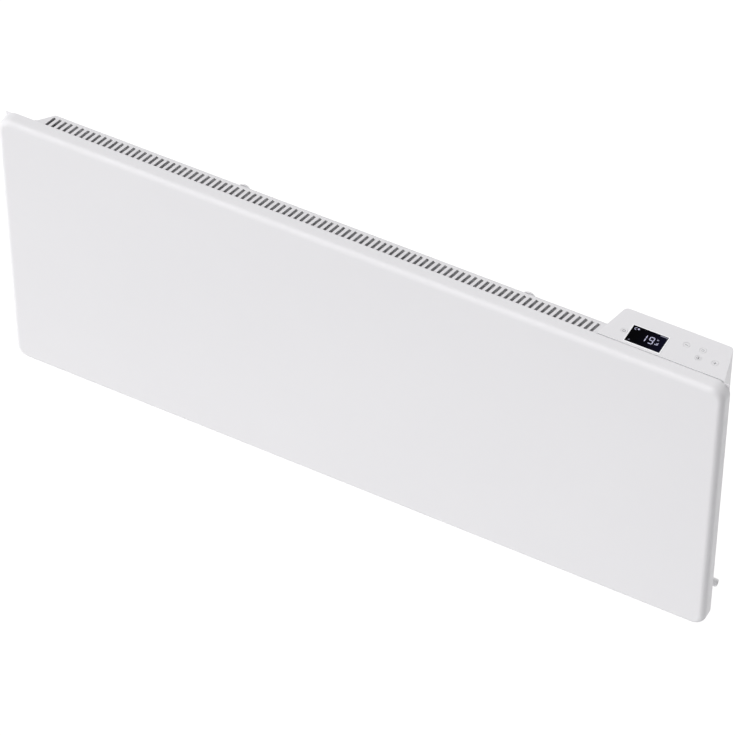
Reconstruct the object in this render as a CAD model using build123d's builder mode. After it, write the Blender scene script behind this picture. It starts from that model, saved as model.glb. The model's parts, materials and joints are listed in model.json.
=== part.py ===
"""Wall panel convector heater.

A pressed steel front tray with a shallow convector casing behind it, a punched outlet grille with slanted
slots along the top, a control housing at the top right, and a wall bracket that the heater hangs on.

Millimetres. +X runs to the right along the wall, the front faces -Y, the wall is the plane Y = 0 and +Z is
up. The origin is the centre of the bracket's four wall screws.
"""

import math
import os

from build123d import *

# ---------------------------------------------------------------- driving dimensions

# Front tray
panel_width = 867.0
panel_height = 370.0
panel_depth = 17.0
panel_sheet = 1.0
panel_edge_radius = 7.0
panel_corner_radius = 16.0
panel_lip = 8.0

# Depths, measured back from the panel's front face
overall_depth = 84.0
casing_depth = 35.4
shield_depth = 13.0
control_rear_depth = 65.0

# Where the bracket's screw centre lies on the heater
bracket_shift = 22.5
screw_height = 170.0

# Casing
casing_sheet = 1.0
casing_inset_left = 39.3
casing_inset_right = 16.0
casing_inset_bottom = 12.0
casing_side_angle = 40.0
casing_bend_radius = 4.0
casing_flange_margin = 2.0

# Outlet grille
grille_rim = 4.7
grille_skirt = 10.0
grille_tuck = 9.0
grille_bend_radius = 1.6
slot_pitch = 7.12
slot_width = 3.5
slot_slant = 13.1
first_slot = 52.1
slot_under_flange = 1.0

# Inlet grille
inlet_pitch = 22.0
inlet_slot_width = 15.0
inlet_slot_length = 10.0
inlet_margin = 24.0
inlet_flange = 9.0
inlet_rear_flange = 5.0

# Control housing
control_inset_right = 7.6
control_width = 145.2
control_taper = 13.1
control_corner_radius = 6.0
control_height = 67.0
control_wall = 2.0
control_front_gap = 1.3
control_side_gap = 0.4
fascia_thickness = 2.0
fascia_spigot = 3.0
fascia_spigot_wall = 1.2

# Display, placed from the housing's centre line and the panel's front face
display_width = 39.8
display_height = 24.4
display_offset = -23.4
display_depth = 34.0
display_rim = 1.1
display_rim_rise = 0.3
module_margin = 1.5

# Keys: offset from the housing's centre line, depth behind the front face
key_power_offset = -48.9
key_power_depth = 34.0
key_minus_offset = 16.5
key_minus_depth = 45.8
key_timer_offset = 34.8
key_timer_depth = 46.6
key_mode_offset = 35.0
key_mode_depth = 34.6
key_plus_offset = 53.2
key_plus_depth = 36.0
key_diameter = 7.0
key_gap = 0.25
key_flange_width = 9.0
key_flange = 1.0
key_stem_width = 3.0
key_travel = 0.6
key_stop_gap = 0.06

# Control board, its posts and the housing's fixing bosses
board_side_gap = 13.6
board_depth = 32.0
board_front_gap = 1.5
board_thickness = 1.6
board_post = 7.0
board_post_inset = 5.0
board_screw_diameter = 3.0
board_screw_head = 6.0
board_screw_head_height = 2.0
board_screw_length = 8.0
housing_boss = 9.0
housing_boss_height = 10.0
housing_boss_reach = 32.0
module_height = 7.0
switch_side = 6.0
switch_body = 3.5
plunger_width = 2.6
plunger_height = 0.8
relay_length = 19.0
relay_depth = 15.5
relay_height = 15.0
relay_offset = 18.0
supply_block_length = 24.0
supply_block_depth = 18.0
supply_block_height = 12.0
sensor_diameter = 6.0
sensor_length = 12.0
sensor_seat = 4.0
sensor_back_gap = 10.0

# Bracket
hook_spacing = 340.0
screw_spacing = 200.0
wall_screw_hole = 6.0
bracket_sheet = 1.6
bracket_bend = 1.2
bracket_web_gap = 3.0
web_width = 32.0
foot_width = 16.0
upright_bottom = 40.0
upright_wall_top = 292.0
tongue_width = 14.4
tongue_tip_drop = 2.0
tongue_length = 23.0
lower_window_bottom = 60.0
lower_window_width = 25.0
lift_travel = 24.0
rail_height = 26.0
rail_sheet = 1.2
rail_flange = 7.0
rail_end_gap = 4.0

# Hanging loops and pads on the heater
loop_height = 10.0
loop_sheet = 1.2
loop_side_gap = 1.4
loop_back_gap = 0.4
loop_foot = 12.0
lower_loop_gap = 0.3
pad_side = 20.0
pad_edge = 0.8
pad_gap = 0.3
pad_height = 130.0

# Heating element
element_left_margin = 62.0
element_height = 112.0
element_section = 56.0
element_thickness = 13.0
element_web = 2.0
element_ribs = 9
element_rib_sheet = 1.4
element_hub = 11.0
rod_diameter = 7.0
rod_stub = 24.0
bush_side = 12.0
bush_reach = 3.0
hanger_gap = 6.0
hanger_rim = 2.5
hanger_sheet = 1.0
hanger_foot = 14.0
hanger_height = 44.0
connector_length = 26.0
connector_height = 24.0
connector_thickness = 12.0
cutout_diameter = 16.0
cutout_thickness = 6.0
cutout_rise = 70.0
cutout_blade_length = 26.0
cutout_blade_width = 6.0
strap_length = 44.0
strap_width = 18.0

# Mains entry
entry_width = 64.0
entry_height = 46.0
entry_rise = 11.0
entry_depth = 24.0
entry_wall = 2.0
entry_corner_radius = 4.0
entry_post = 7.0
entry_post_inset = 8.0
block_inset = 13.0
block_rise = 11.0
block_length = 34.0
block_height = 16.0
block_depth = 15.0
block_ways = 3
block_well = 5.0
gland_rise = 24.0
gland_set_back = 11.6
gland_reach = 24.0
gland_nose_diameter = 9.4
gland_nose_length = 5.0
gland_body_diameter = 14.0
gland_collar_length = 2.5
gland_bore = 6.2
gland_hex = 16.0
gland_hex_length = 5.0
gland_edge = 0.8
gland_thread_diameter = 12.0
gland_thread_length = 8.0
locknut_thickness = 3.5

# Internal leads, flat woven sleeves
lead_width = 6.4
lead_thickness = 3.2
lead_bend = 8.0
element_lead_bend = 16.0
element_lead_run = 37.0
lead_gap = 0.4
lead_post_gap = 8.4
supply_inset = 26.0
supply_hole_drop = 10.0

# Fasteners and clearances; small round pieces and their holes have flat sides
fastener_sides = 6
round_sides = 12
key_sides = 16
screw_gap = 0.2
fit_gap = 0.15
sheet_screw_diameter = 4.0
sheet_screw_head = 8.0
sheet_screw_head_height = 2.2
sheet_screw_length = 8.0
rivet_diameter = 4.0
rivet_head = 7.0
rivet_head_height = 1.2

# ---------------------------------------------------------------- derived places

panel_left = -panel_width / 2 - bracket_shift
panel_right = panel_left + panel_width
panel_bottom = -screw_height
panel_top = panel_bottom + panel_height
panel_centre_x = (panel_left + panel_right) / 2
panel_centre_z = (panel_bottom + panel_top) / 2
front_y = -overall_depth


def behind(depth):
    """Y of the plane that lies this far behind the panel's front face."""
    return front_y + depth


def at_y(y):
    """Sketch plane facing the viewer at this Y; a positive extrusion comes forward."""
    return Plane.XZ.offset(-y)


tray_rear = behind(panel_depth)
flange_rear = tray_rear + casing_sheet
casing_rear = behind(casing_depth)
casing_inner_rear = casing_rear - casing_sheet
side_slope = math.tan(math.radians(casing_side_angle))
side_run = (casing_depth - panel_depth - casing_sheet) * side_slope
casing_left = panel_left + casing_inset_left
casing_right = panel_right - casing_inset_right
casing_back_right = casing_right - side_run
casing_bottom = panel_bottom + casing_inset_bottom

grille_top = panel_top - panel_sheet - fit_gap
casing_top = grille_top - grille_bend_radius - fit_gap
grille_rear = casing_rear + casing_sheet
side_cos = math.cos(math.radians(casing_side_angle))

control_right = panel_right - control_inset_right
control_left = control_right - control_width
control_centre = (control_left + control_right) / 2
control_front = tray_rear + control_front_gap
control_rear = behind(control_rear_depth)
control_bottom = panel_top - control_height
fascia_bottom = panel_top - fascia_thickness
taper = math.tan(math.radians(control_taper))
taper_cos = math.cos(math.radians(control_taper))

board_top = fascia_bottom - module_height
board_bottom = board_top - board_thickness
board_front = control_front + control_wall + board_front_gap
board_rear = board_front + board_depth
board_width = control_width - 2 * board_side_gap
board_centre = (control_centre, (board_front + board_rear) / 2)
post_reach = board_width / 2 - board_post_inset
post_xs = (control_centre - post_reach, control_centre + post_reach)
post_ys = (board_front + board_post_inset, board_rear - board_post_inset)
post_points = [(x, y) for x in post_xs for y in post_ys]
boss_xs = (control_centre - housing_boss_reach, control_centre + housing_boss_reach)

hook_xs = (-hook_spacing / 2, hook_spacing / 2)
web_front = casing_rear + bracket_web_gap
web_rear = web_front + bracket_sheet
tongue_tip = panel_top - tongue_tip_drop
upper_shoulder = tongue_tip - tongue_length
lower_shoulder = panel_bottom + lower_window_bottom
loop_half = tongue_width / 2 + loop_side_gap + loop_sheet / 2
loop_rivet_reach = loop_half + loop_foot / 2
loop_rivet_points = [
    (x + side * loop_rivet_reach, z + loop_height / 2)
    for x in hook_xs
    for side in (-1, 1)
    for z in (upper_shoulder, lower_shoulder + lower_loop_gap)
]

stiffener_crown = behind(shield_depth)
shield_sheet = 0.6
element_y = (stiffener_crown + shield_sheet + casing_inner_rear) / 2
element_z = panel_bottom + element_height
element_lead_x = post_xs[0] + lead_post_gap
boss_points = [(x, element_y) for x in boss_xs]
connector_right = element_lead_x - element_lead_run
connector_left = connector_right - connector_length
rod_end = connector_left + connector_length / 2
element_right = rod_end - rod_stub - hanger_gap
element_left = casing_left + element_left_margin

entry_right = casing_back_right
entry_left = entry_right - entry_width
entry_bottom = panel_bottom + entry_rise
entry_top = entry_bottom + entry_height
entry_rear = casing_rear + entry_depth
entry_screw_points = [
    (entry_left + entry_post_inset, entry_bottom + entry_post_inset),
    (entry_right - entry_post_inset, entry_top - entry_post_inset),
]
supply_x = entry_left + supply_inset
supply_hole_z = entry_top - supply_hole_drop

lip_line = panel_sheet + panel_lip / 2
side_screw_xs = (panel_left + lip_line, panel_right - lip_line)
side_screw_zs = [panel_bottom + panel_height * share for share in (0.25, 0.75)]
side_screw_points = [(x, z) for x in side_screw_xs for z in side_screw_zs]
bottom_screw_z = panel_bottom + lip_line
bottom_screw_points = [(panel_left + panel_width * share, bottom_screw_z) for share in (0.25, 0.75)]

os.makedirs("parts", exist_ok=True)


def write(piece, label):
    """Label a finished piece and write it to its own file."""
    piece.label = label
    export_step(piece, f"parts/{label}.step")


def control_outline(inset, front, rear):
    """Corners of the control housing's tapered plan, drawn in from its slanted sides."""
    front_in = (front - tray_rear) * taper + inset / taper_cos
    rear_in = (rear - tray_rear) * taper + inset / taper_cos
    return [
        (control_left + front_in, front),
        (control_right - front_in, front),
        (control_right - rear_in, rear),
        (control_left + rear_in, rear),
    ]


# ---------------------------------------------------------------- front panel

with BuildPart() as front_panel:
    with BuildSketch(at_y(tray_rear)):
        with Locations((panel_centre_x, panel_centre_z)):
            RectangleRounded(panel_width, panel_height, panel_corner_radius)
    extrude(amount=panel_depth)
    fillet(front_panel.faces().sort_by(Axis.Y)[0].edges(), radius=panel_edge_radius)
    offset(amount=-panel_sheet, openings=front_panel.faces().sort_by(Axis.Y)[-1])
    # return lip along the bottom and both sides, open along the top
    with BuildSketch(at_y(tray_rear)):
        with Locations((panel_centre_x, panel_centre_z)):
            RectangleRounded(panel_width - panel_sheet, panel_height - panel_sheet, panel_corner_radius)
            RectangleRounded(
                panel_width - 2 * (panel_sheet + panel_lip),
                panel_height - 2 * (panel_sheet + panel_lip),
                panel_corner_radius - panel_lip,
                mode=Mode.SUBTRACT,
            )
        with Locations((panel_centre_x, panel_top)):
            Rectangle(2 * panel_width, 2 * panel_corner_radius, mode=Mode.SUBTRACT)
    extrude(amount=panel_sheet)
    with BuildSketch(at_y(tray_rear)):
        with Locations(*side_screw_points, *bottom_screw_points):
            RegularPolygon(sheet_screw_diameter / 2 + screw_gap, fastener_sides)
    extrude(amount=2 * panel_sheet, mode=Mode.SUBTRACT)
write(front_panel.part, "front_panel")

# ---------------------------------------------------------------- panel stiffeners

stiffener_width = 34.0
stiffener_foot = 12.0
stiffener_sheet = 0.8
stiffener_end_margin = 24.0
stiffener_xs = [panel_left + panel_width * share for share in (0.2, 0.47, 0.74)]
stiffener_front = behind(panel_sheet)

with BuildPart() as panel_stiffeners:
    with BuildSketch(Plane.XY.offset(panel_bottom + stiffener_end_margin)):
        for x in stiffener_xs:
            with BuildLine():
                half = stiffener_width / 2
                foot_y = stiffener_front + stiffener_sheet / 2
                crown_y = stiffener_crown - stiffener_sheet / 2
                Polyline(
                    (x - half - stiffener_foot, foot_y),
                    (x - half, foot_y),
                    (x - half, crown_y),
                    (x + half, crown_y),
                    (x + half, foot_y),
                    (x + half + stiffener_foot, foot_y),
                )
            trace(line_width=stiffener_sheet)
    extrude(amount=panel_height - 2 * stiffener_end_margin)
write(panel_stiffeners.part, "panel_stiffeners")

# ---------------------------------------------------------------- heat shield

shield_side_margin = 16.0
shield_end_margin = 28.0
shield_fold = 2.4
shield_left = casing_left + shield_side_margin
shield_right = control_left - shield_side_margin

with BuildPart() as heat_shield:
    with BuildSketch(Plane.YZ.offset(shield_left)):
        with BuildLine():
            shield_y = stiffener_crown + shield_sheet / 2
            Polyline(
                (stiffener_crown + shield_fold, panel_bottom + shield_end_margin),
                (shield_y, panel_bottom + shield_end_margin),
                (shield_y, panel_top - shield_end_margin),
                (stiffener_crown + shield_fold, panel_top - shield_end_margin),
            )
        trace(line_width=shield_sheet)
    extrude(amount=shield_right - shield_left)
write(heat_shield.part, "heat_shield")

# ---------------------------------------------------------------- rear casing

housing_cut_gap = 2.0
housing_cut_left = control_left - housing_cut_gap
mid_sheet = casing_sheet / 2
supply_opening = (lead_width + 2 * lead_gap, lead_thickness + 2 * lead_gap)
element_lead_opening = (lead_thickness + 2 * lead_gap, lead_width + 2 * lead_gap)

with BuildPart() as rear_casing:
    # plan section: flange, slanted side, back, slanted side, flange
    with BuildSketch(Plane.XY.offset(casing_bottom)):
        with BuildLine():
            FilletPolyline(
                (panel_left + casing_flange_margin, tray_rear + mid_sheet),
                (casing_left, tray_rear + mid_sheet),
                (casing_left + side_run, casing_rear - mid_sheet),
                (casing_back_right, casing_rear - mid_sheet),
                (casing_right, tray_rear + mid_sheet),
                (panel_right - casing_flange_margin, tray_rear + mid_sheet),
                radius=casing_bend_radius,
            )
        trace(line_width=casing_sheet)
    extrude(amount=casing_top - casing_bottom)
    # the control housing takes the top right corner, behind the flange
    with BuildSketch(at_y(flange_rear + fit_gap)):
        with Locations((housing_cut_left, control_bottom)):
            Rectangle(panel_width, panel_height, align=(Align.MIN, Align.MIN))
    extrude(amount=-overall_depth, mode=Mode.SUBTRACT)
    # shelf that the housing stands on
    with BuildSketch(Plane.XY.offset(control_bottom - casing_sheet)):
        with BuildLine():
            Polyline(
                (housing_cut_left, flange_rear - mid_sheet),
                (casing_right - mid_sheet, flange_rear - mid_sheet),
                (casing_back_right - mid_sheet, casing_rear - mid_sheet),
                (housing_cut_left, casing_rear - mid_sheet),
                close=True,
            )
        make_face()
        with Locations((supply_x, element_y)):
            Rectangle(*supply_opening, mode=Mode.SUBTRACT)
        with Locations((element_lead_x, element_y)):
            Rectangle(*element_lead_opening, mode=Mode.SUBTRACT)
        with Locations(*boss_points):
            RegularPolygon(sheet_screw_diameter / 2 + screw_gap, fastener_sides, mode=Mode.SUBTRACT)
    extrude(amount=casing_sheet)
    # back: lead opening and screw holes at the mains entry, rivet holes under the loops
    with BuildSketch(at_y(casing_rear)):
        with Locations((supply_x, supply_hole_z)):
            Rectangle(*supply_opening)
        with Locations(*entry_screw_points):
            RegularPolygon(sheet_screw_diameter / 2 + screw_gap, fastener_sides)
        with Locations(*loop_rivet_points):
            RegularPolygon(rivet_diameter / 2 + screw_gap, fastener_sides)
    extrude(amount=2 * casing_sheet, mode=Mode.SUBTRACT)
    # flange screw holes
    with BuildSketch(at_y(flange_rear)):
        with Locations(*side_screw_points):
            RegularPolygon(sheet_screw_diameter / 2 + screw_gap, fastener_sides)
    extrude(amount=2 * casing_sheet, mode=Mode.SUBTRACT)
write(rear_casing.part, "rear_casing")

# ---------------------------------------------------------------- outlet grille

grille_front = flange_rear + fit_gap
grille_corner_radius = casing_bend_radius + casing_sheet
grille_foot = casing_left - (1.5 * casing_sheet + fit_gap) / side_cos
grille_right_front = control_left + (grille_front - tray_rear) * taper - control_side_gap
grille_right_rear = control_left + (grille_rear - tray_rear) * taper - control_side_gap
grille_left_front = grille_foot + (grille_front - tray_rear - mid_sheet) * side_slope
grille_left_rear = grille_foot + (grille_rear - tray_rear - mid_sheet) * side_slope
slot_front = tray_rear - slot_under_flange
slot_rear = grille_rear - grille_rim
slot_slope = math.tan(math.radians(slot_slant))
slot_length = (slot_rear - slot_front) / math.cos(math.radians(slot_slant))
slot_middle = (slot_front + slot_rear) / 2
slot_start = panel_left + first_slot + (slot_middle - tray_rear) * slot_slope
slot_run = grille_right_rear - slot_pitch - slot_start
slot_count = int(slot_run / slot_pitch) + 1

with BuildPart() as top_grille:
    with BuildSketch(Plane.XY.offset(grille_top)):
        with BuildLine():
            Polyline(
                (grille_left_front, grille_front),
                (grille_right_front, grille_front),
                (grille_right_rear, grille_rear),
                (grille_left_rear, grille_rear),
                close=True,
            )
        make_face()
    extrude(amount=-grille_skirt)
    rear_left_edge = top_grille.edges().filter_by(Axis.Z).group_by(Axis.Y)[-1].sort_by(Axis.X)[0]
    fillet(rear_left_edge, radius=grille_corner_radius)
    top_edges = top_grille.faces().sort_by(Axis.Z)[-1].edges()
    bend_edges = top_edges - top_edges.group_by(Axis.Y)[0] - top_edges.sort_by(Axis.X)[-1:]
    fillet(bend_edges, radius=grille_bend_radius)
    open_sides = [
        top_grille.faces().sort_by(Axis.Z)[0],
        top_grille.faces().sort_by(Axis.Y)[0],
        top_grille.faces().sort_by(Axis.X)[-1],
    ]
    offset(amount=-casing_sheet, openings=open_sides)
    # front edge tucked under the panel's top flange
    with BuildSketch(Plane.XY.offset(grille_top)):
        with BuildLine():
            Polyline(
                (grille_foot, behind(grille_tuck)),
                (control_left - control_side_gap, behind(grille_tuck)),
                (grille_right_front, grille_front + casing_sheet),
                (grille_left_front, grille_front + casing_sheet),
                close=True,
            )
        make_face()
    extrude(amount=-casing_sheet)
    # slanted outlet slots
    with BuildSketch(Plane.XY.offset(grille_top)):
        for index in range(slot_count):
            with Locations((slot_start + index * slot_pitch, slot_middle)):
                Rectangle(slot_length, slot_width, rotation=90 - slot_slant)
    extrude(amount=-2 * casing_sheet, mode=Mode.SUBTRACT)
write(top_grille.part, "top_grille")

# ---------------------------------------------------------------- inlet grille

inlet_rear = casing_inner_rear
inlet_left = casing_left + (mid_sheet + fit_gap) / side_cos + mid_sheet * side_slope
inlet_right = casing_right - (mid_sheet + fit_gap) / side_cos - mid_sheet * side_slope
inlet_left_rear = inlet_left + (inlet_rear - flange_rear) * side_slope
inlet_right_rear = inlet_right - (inlet_rear - flange_rear) * side_slope
inlet_count = int((inlet_right_rear - inlet_left_rear - 2 * inlet_margin) / inlet_pitch) + 1

with BuildPart() as bottom_grille:
    with BuildSketch(Plane.XY.offset(casing_bottom)) as inlet_floor:
        with BuildLine():
            Polyline(
                (inlet_left, tray_rear),
                (inlet_right, tray_rear),
                (inlet_right, flange_rear),
                (inlet_right_rear, inlet_rear),
                (inlet_left_rear, inlet_rear),
                (inlet_left, flange_rear),
                close=True,
            )
        make_face()
        fillet(inlet_floor.vertices().group_by(Axis.Y)[-1], radius=casing_bend_radius)
        with Locations(((inlet_left + inlet_right) / 2, (flange_rear + inlet_rear) / 2)):
            with GridLocations(inlet_pitch, 1, inlet_count, 1):
                Rectangle(inlet_slot_width, inlet_slot_length, mode=Mode.SUBTRACT)
    extrude(amount=-casing_sheet)
    # front flange down over the panel's lip, rear flange up inside the casing's back
    with BuildSketch(at_y(flange_rear)):
        with Locations(((inlet_left + inlet_right) / 2, casing_bottom)):
            Rectangle(inlet_right - inlet_left, inlet_flange, align=(Align.CENTER, Align.MAX))
        with Locations(*bottom_screw_points):
            RegularPolygon(sheet_screw_diameter / 2 + screw_gap, fastener_sides, mode=Mode.SUBTRACT)
    extrude(amount=casing_sheet)
    with BuildSketch(at_y(inlet_rear)):
        with Locations(((inlet_left_rear + inlet_right_rear) / 2, casing_bottom - casing_sheet)):
            Rectangle(
                inlet_right_rear - inlet_left_rear - 4 * casing_bend_radius,
                inlet_rear_flange,
                align=(Align.CENTER, Align.MIN),
            )
    extrude(amount=casing_sheet)
write(bottom_grille.part, "bottom_grille")

# ---------------------------------------------------------------- casing screws

with BuildPart() as casing_screws:
    with BuildSketch(at_y(flange_rear + sheet_screw_head_height)):
        with Locations(*side_screw_points, *bottom_screw_points):
            RegularPolygon(sheet_screw_head / 2, fastener_sides)
    extrude(amount=sheet_screw_head_height)
    with BuildSketch(at_y(flange_rear)):
        with Locations(*side_screw_points, *bottom_screw_points):
            RegularPolygon(sheet_screw_diameter / 2, fastener_sides)
    extrude(amount=sheet_screw_length)
write(casing_screws.part, "casing_screws")

# ---------------------------------------------------------------- hanging loops, their rivets and the pads

with BuildPart() as hanging_loops:
    for level in (upper_shoulder, lower_shoulder + lower_loop_gap):
        with BuildSketch(Plane.XY.offset(level)):
            for x in hook_xs:
                with BuildLine():
                    foot_y = casing_rear + loop_sheet / 2
                    bridge_y = web_rear + loop_back_gap + loop_sheet / 2
                    Polyline(
                        (x - loop_half - loop_foot, foot_y),
                        (x - loop_half, foot_y),
                        (x - loop_half, bridge_y),
                        (x + loop_half, bridge_y),
                        (x + loop_half, foot_y),
                        (x + loop_half + loop_foot, foot_y),
                    )
                trace(line_width=loop_sheet)
        extrude(amount=loop_height)
    with BuildSketch(at_y(casing_rear + loop_sheet)):
        with Locations(*loop_rivet_points):
            RegularPolygon(rivet_diameter / 2 + screw_gap, fastener_sides)
    extrude(amount=loop_sheet, mode=Mode.SUBTRACT)
write(hanging_loops.part, "hanging_loops")

with BuildPart() as loop_rivets:
    with BuildSketch(at_y(casing_rear + loop_sheet + rivet_head_height)):
        with Locations(*loop_rivet_points):
            RegularPolygon(rivet_head / 2, fastener_sides)
    extrude(amount=rivet_head_height)
    with BuildSketch(at_y(casing_rear + loop_sheet)):
        with Locations(*loop_rivet_points):
            RegularPolygon(rivet_diameter / 2, fastener_sides)
    extrude(amount=loop_sheet + casing_sheet)
write(loop_rivets.part, "loop_rivets")

with BuildPart() as spacer_pads:
    with BuildSketch(at_y(casing_rear)):
        with Locations(*[(x, panel_bottom + pad_height) for x in hook_xs]):
            Rectangle(pad_side, pad_side)
    extrude(amount=-(bracket_web_gap - pad_gap))
    chamfer(spacer_pads.edges().group_by(Axis.Y)[-1], length=pad_edge)
write(spacer_pads.part, "spacer_pads")

# ---------------------------------------------------------------- heating element

rib_pitch = (element_section - element_rib_sheet) / (element_ribs - 1)

with BuildPart() as element_fins:
    with BuildSketch(Plane.YZ.offset(element_left)):
        with Locations((element_y, element_z)):
            Rectangle(element_web, element_section)
            with GridLocations(1, rib_pitch, 1, element_ribs):
                Rectangle(element_thickness, element_rib_sheet)
        with Locations((element_y, element_z)):
            RegularPolygon(element_hub / 2, round_sides)
            RegularPolygon(rod_diameter / 2 + fit_gap, round_sides, False, mode=Mode.SUBTRACT)
    extrude(amount=element_right - element_left)
write(element_fins.part, "element_fins")

hanger_xs = (element_left - hanger_gap - hanger_sheet, element_right + hanger_gap)
hanger_front = element_y - bush_side / 2 - hanger_rim
rod_start = hanger_xs[0] - 2 * bush_reach

with BuildPart() as heating_rod:
    with BuildSketch(Plane.YZ.offset(rod_start)):
        with Locations((element_y, element_z)):
            Circle(rod_diameter / 2)
    extrude(amount=rod_end - rod_start)
write(heating_rod.part, "heating_rod")

with BuildPart() as element_hangers:
    for x, side in zip(hanger_xs, (-1, 1)):
        with BuildSketch(Plane.YZ.offset(x)):
            with Locations(((hanger_front + casing_inner_rear) / 2, element_z)):
                Rectangle(casing_inner_rear - hanger_front, hanger_height)
            with Locations((element_y, element_z)):
                Rectangle(bush_side + 2 * fit_gap, bush_side + 2 * fit_gap, mode=Mode.SUBTRACT)
        extrude(amount=hanger_sheet)
        foot_x = x if side > 0 else x + hanger_sheet
        with BuildSketch(at_y(casing_inner_rear)):
            with Locations((foot_x + side * hanger_foot / 2, element_z)):
                Rectangle(hanger_foot, hanger_height)
        extrude(amount=hanger_sheet)
write(element_hangers.part, "element_hangers")

with BuildPart() as element_bushes:
    for x in hanger_xs:
        with BuildSketch(Plane.YZ.offset(x - bush_reach)):
            with Locations((element_y, element_z)):
                Rectangle(bush_side, bush_side)
                RegularPolygon(rod_diameter / 2 + fit_gap, round_sides, False, mode=Mode.SUBTRACT)
        extrude(amount=hanger_sheet + 2 * bush_reach)
write(element_bushes.part, "element_bushes")

with BuildPart() as element_connector:
    with BuildSketch(Plane.YZ.offset(connector_left)):
        with Locations((element_y, element_z)):
            Rectangle(connector_thickness, connector_height)
    extrude(amount=connector_length)
    with BuildSketch(Plane.YZ.offset(connector_left)):
        with Locations((element_y, element_z)):
            RegularPolygon(rod_diameter / 2 + fit_gap, round_sides, False)
    extrude(amount=connector_length / 2 + fit_gap, mode=Mode.SUBTRACT)
write(element_connector.part, "element_connector")

# ---------------------------------------------------------------- thermal cut-out on its strap

cutout_x = element_right - strap_length
cutout_z = element_z + cutout_rise

with BuildPart() as cutout_strap:
    with BuildSketch(at_y(casing_inner_rear)):
        with Locations((cutout_x, cutout_z)):
            Rectangle(strap_length, strap_width)
    extrude(amount=hanger_sheet)
write(cutout_strap.part, "cutout_strap")

with BuildPart() as thermal_cutout:
    with BuildSketch(at_y(casing_inner_rear - hanger_sheet)):
        with Locations((cutout_x, cutout_z)):
            RegularPolygon(cutout_diameter / 2, round_sides)
    extrude(amount=cutout_thickness)
    # connection blades, one each side
    with BuildSketch(at_y(casing_inner_rear - hanger_sheet - cutout_thickness / 2)):
        with Locations((cutout_x, cutout_z)):
            Rectangle(cutout_blade_length, cutout_blade_width)
    extrude(amount=hanger_sheet)
write(thermal_cutout.part, "thermal_cutout")

# ---------------------------------------------------------------- mains entry

entry_centre = ((entry_left + entry_right) / 2, (entry_bottom + entry_top) / 2)
gland_y = casing_rear + gland_set_back
gland_z = panel_bottom + gland_rise
gland_axis = Plane(origin=(entry_right, gland_y, gland_z), x_dir=(0, 1, 0), z_dir=(1, 0, 0))

with BuildPart() as terminal_cover:
    with BuildSketch(at_y(casing_rear)):
        with Locations(entry_centre):
            RectangleRounded(entry_width, entry_height, entry_corner_radius)
    extrude(amount=-entry_depth)
    offset(amount=-entry_wall, openings=terminal_cover.faces().sort_by(Axis.Y)[0])
    # screw posts in two opposite corners
    with BuildSketch(at_y(casing_rear)):
        with Locations(*entry_screw_points):
            Rectangle(entry_post, entry_post)
    extrude(amount=-(entry_depth - entry_wall / 2))
    with BuildSketch(at_y(casing_rear)):
        with Locations(*entry_screw_points):
            RegularPolygon(sheet_screw_diameter / 2 + screw_gap, fastener_sides)
    extrude(amount=-2 * entry_depth, mode=Mode.SUBTRACT)
    with BuildSketch(gland_axis):
        RegularPolygon(gland_thread_diameter / 2 + fit_gap, round_sides)
    extrude(amount=-2 * entry_wall, mode=Mode.SUBTRACT)
write(terminal_cover.part, "terminal_cover")

with BuildPart() as terminal_screws:
    with BuildSketch(at_y(entry_rear + sheet_screw_head_height)):
        with Locations(*entry_screw_points):
            RegularPolygon(sheet_screw_head / 2, fastener_sides)
    extrude(amount=sheet_screw_head_height)
    with BuildSketch(at_y(entry_rear)):
        with Locations(*entry_screw_points):
            RegularPolygon(sheet_screw_diameter / 2, fastener_sides)
    extrude(amount=entry_depth + 2 * casing_sheet)
write(terminal_screws.part, "terminal_screws")

with BuildPart() as terminal_block:
    block_x = entry_left + block_inset + block_length / 2
    block_z = entry_bottom + block_rise + block_height / 2
    with BuildSketch(at_y(casing_rear)):
        with Locations((block_x, block_z)):
            Rectangle(block_length, block_height)
    extrude(amount=-block_depth)
    with BuildSketch(at_y(casing_rear + block_depth)):
        with Locations((block_x, block_z)):
            with GridLocations(block_length / block_ways, 1, block_ways, 1):
                Rectangle(block_well, block_well)
    extrude(amount=block_well, mode=Mode.SUBTRACT)
write(terminal_block.part, "terminal_block")

with BuildPart() as cable_gland:
    with BuildSketch(gland_axis):
        RegularPolygon(gland_hex / 2, 6, major_radius=False)
    extrude(amount=gland_hex_length)
    chamfer(cable_gland.faces().sort_by(Axis.X)[-1].edges(), length=gland_edge)
    with BuildSketch(gland_axis):
        RegularPolygon(gland_thread_diameter / 2, round_sides)
    extrude(amount=-gland_thread_length)
    # collar, then a taper to a short straight end
    nose_start = gland_reach - gland_nose_length
    nose_taper = nose_start - gland_hex_length - gland_collar_length
    nose_drop = (gland_body_diameter - gland_nose_diameter) / 2 * math.cos(math.pi / round_sides)
    with BuildSketch(gland_axis.offset(gland_hex_length)):
        RegularPolygon(gland_body_diameter / 2, round_sides)
    extrude(amount=nose_start - gland_hex_length)
    shoulder = cable_gland.faces().sort_by(Axis.X)[-1]
    chamfer(shoulder.edges(), length=nose_drop, length2=nose_taper, reference=shoulder)
    with BuildSketch(gland_axis.offset(gland_reach)):
        RegularPolygon(gland_nose_diameter / 2, round_sides)
    extrude(amount=-gland_nose_length)
    chamfer(cable_gland.faces().sort_by(Axis.X)[-1].edges(), length=gland_edge)
    with BuildSketch(gland_axis.offset(gland_reach)):
        Circle(gland_bore / 2)
    extrude(amount=-2 * gland_reach, mode=Mode.SUBTRACT)
write(cable_gland.part, "cable_gland")

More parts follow.
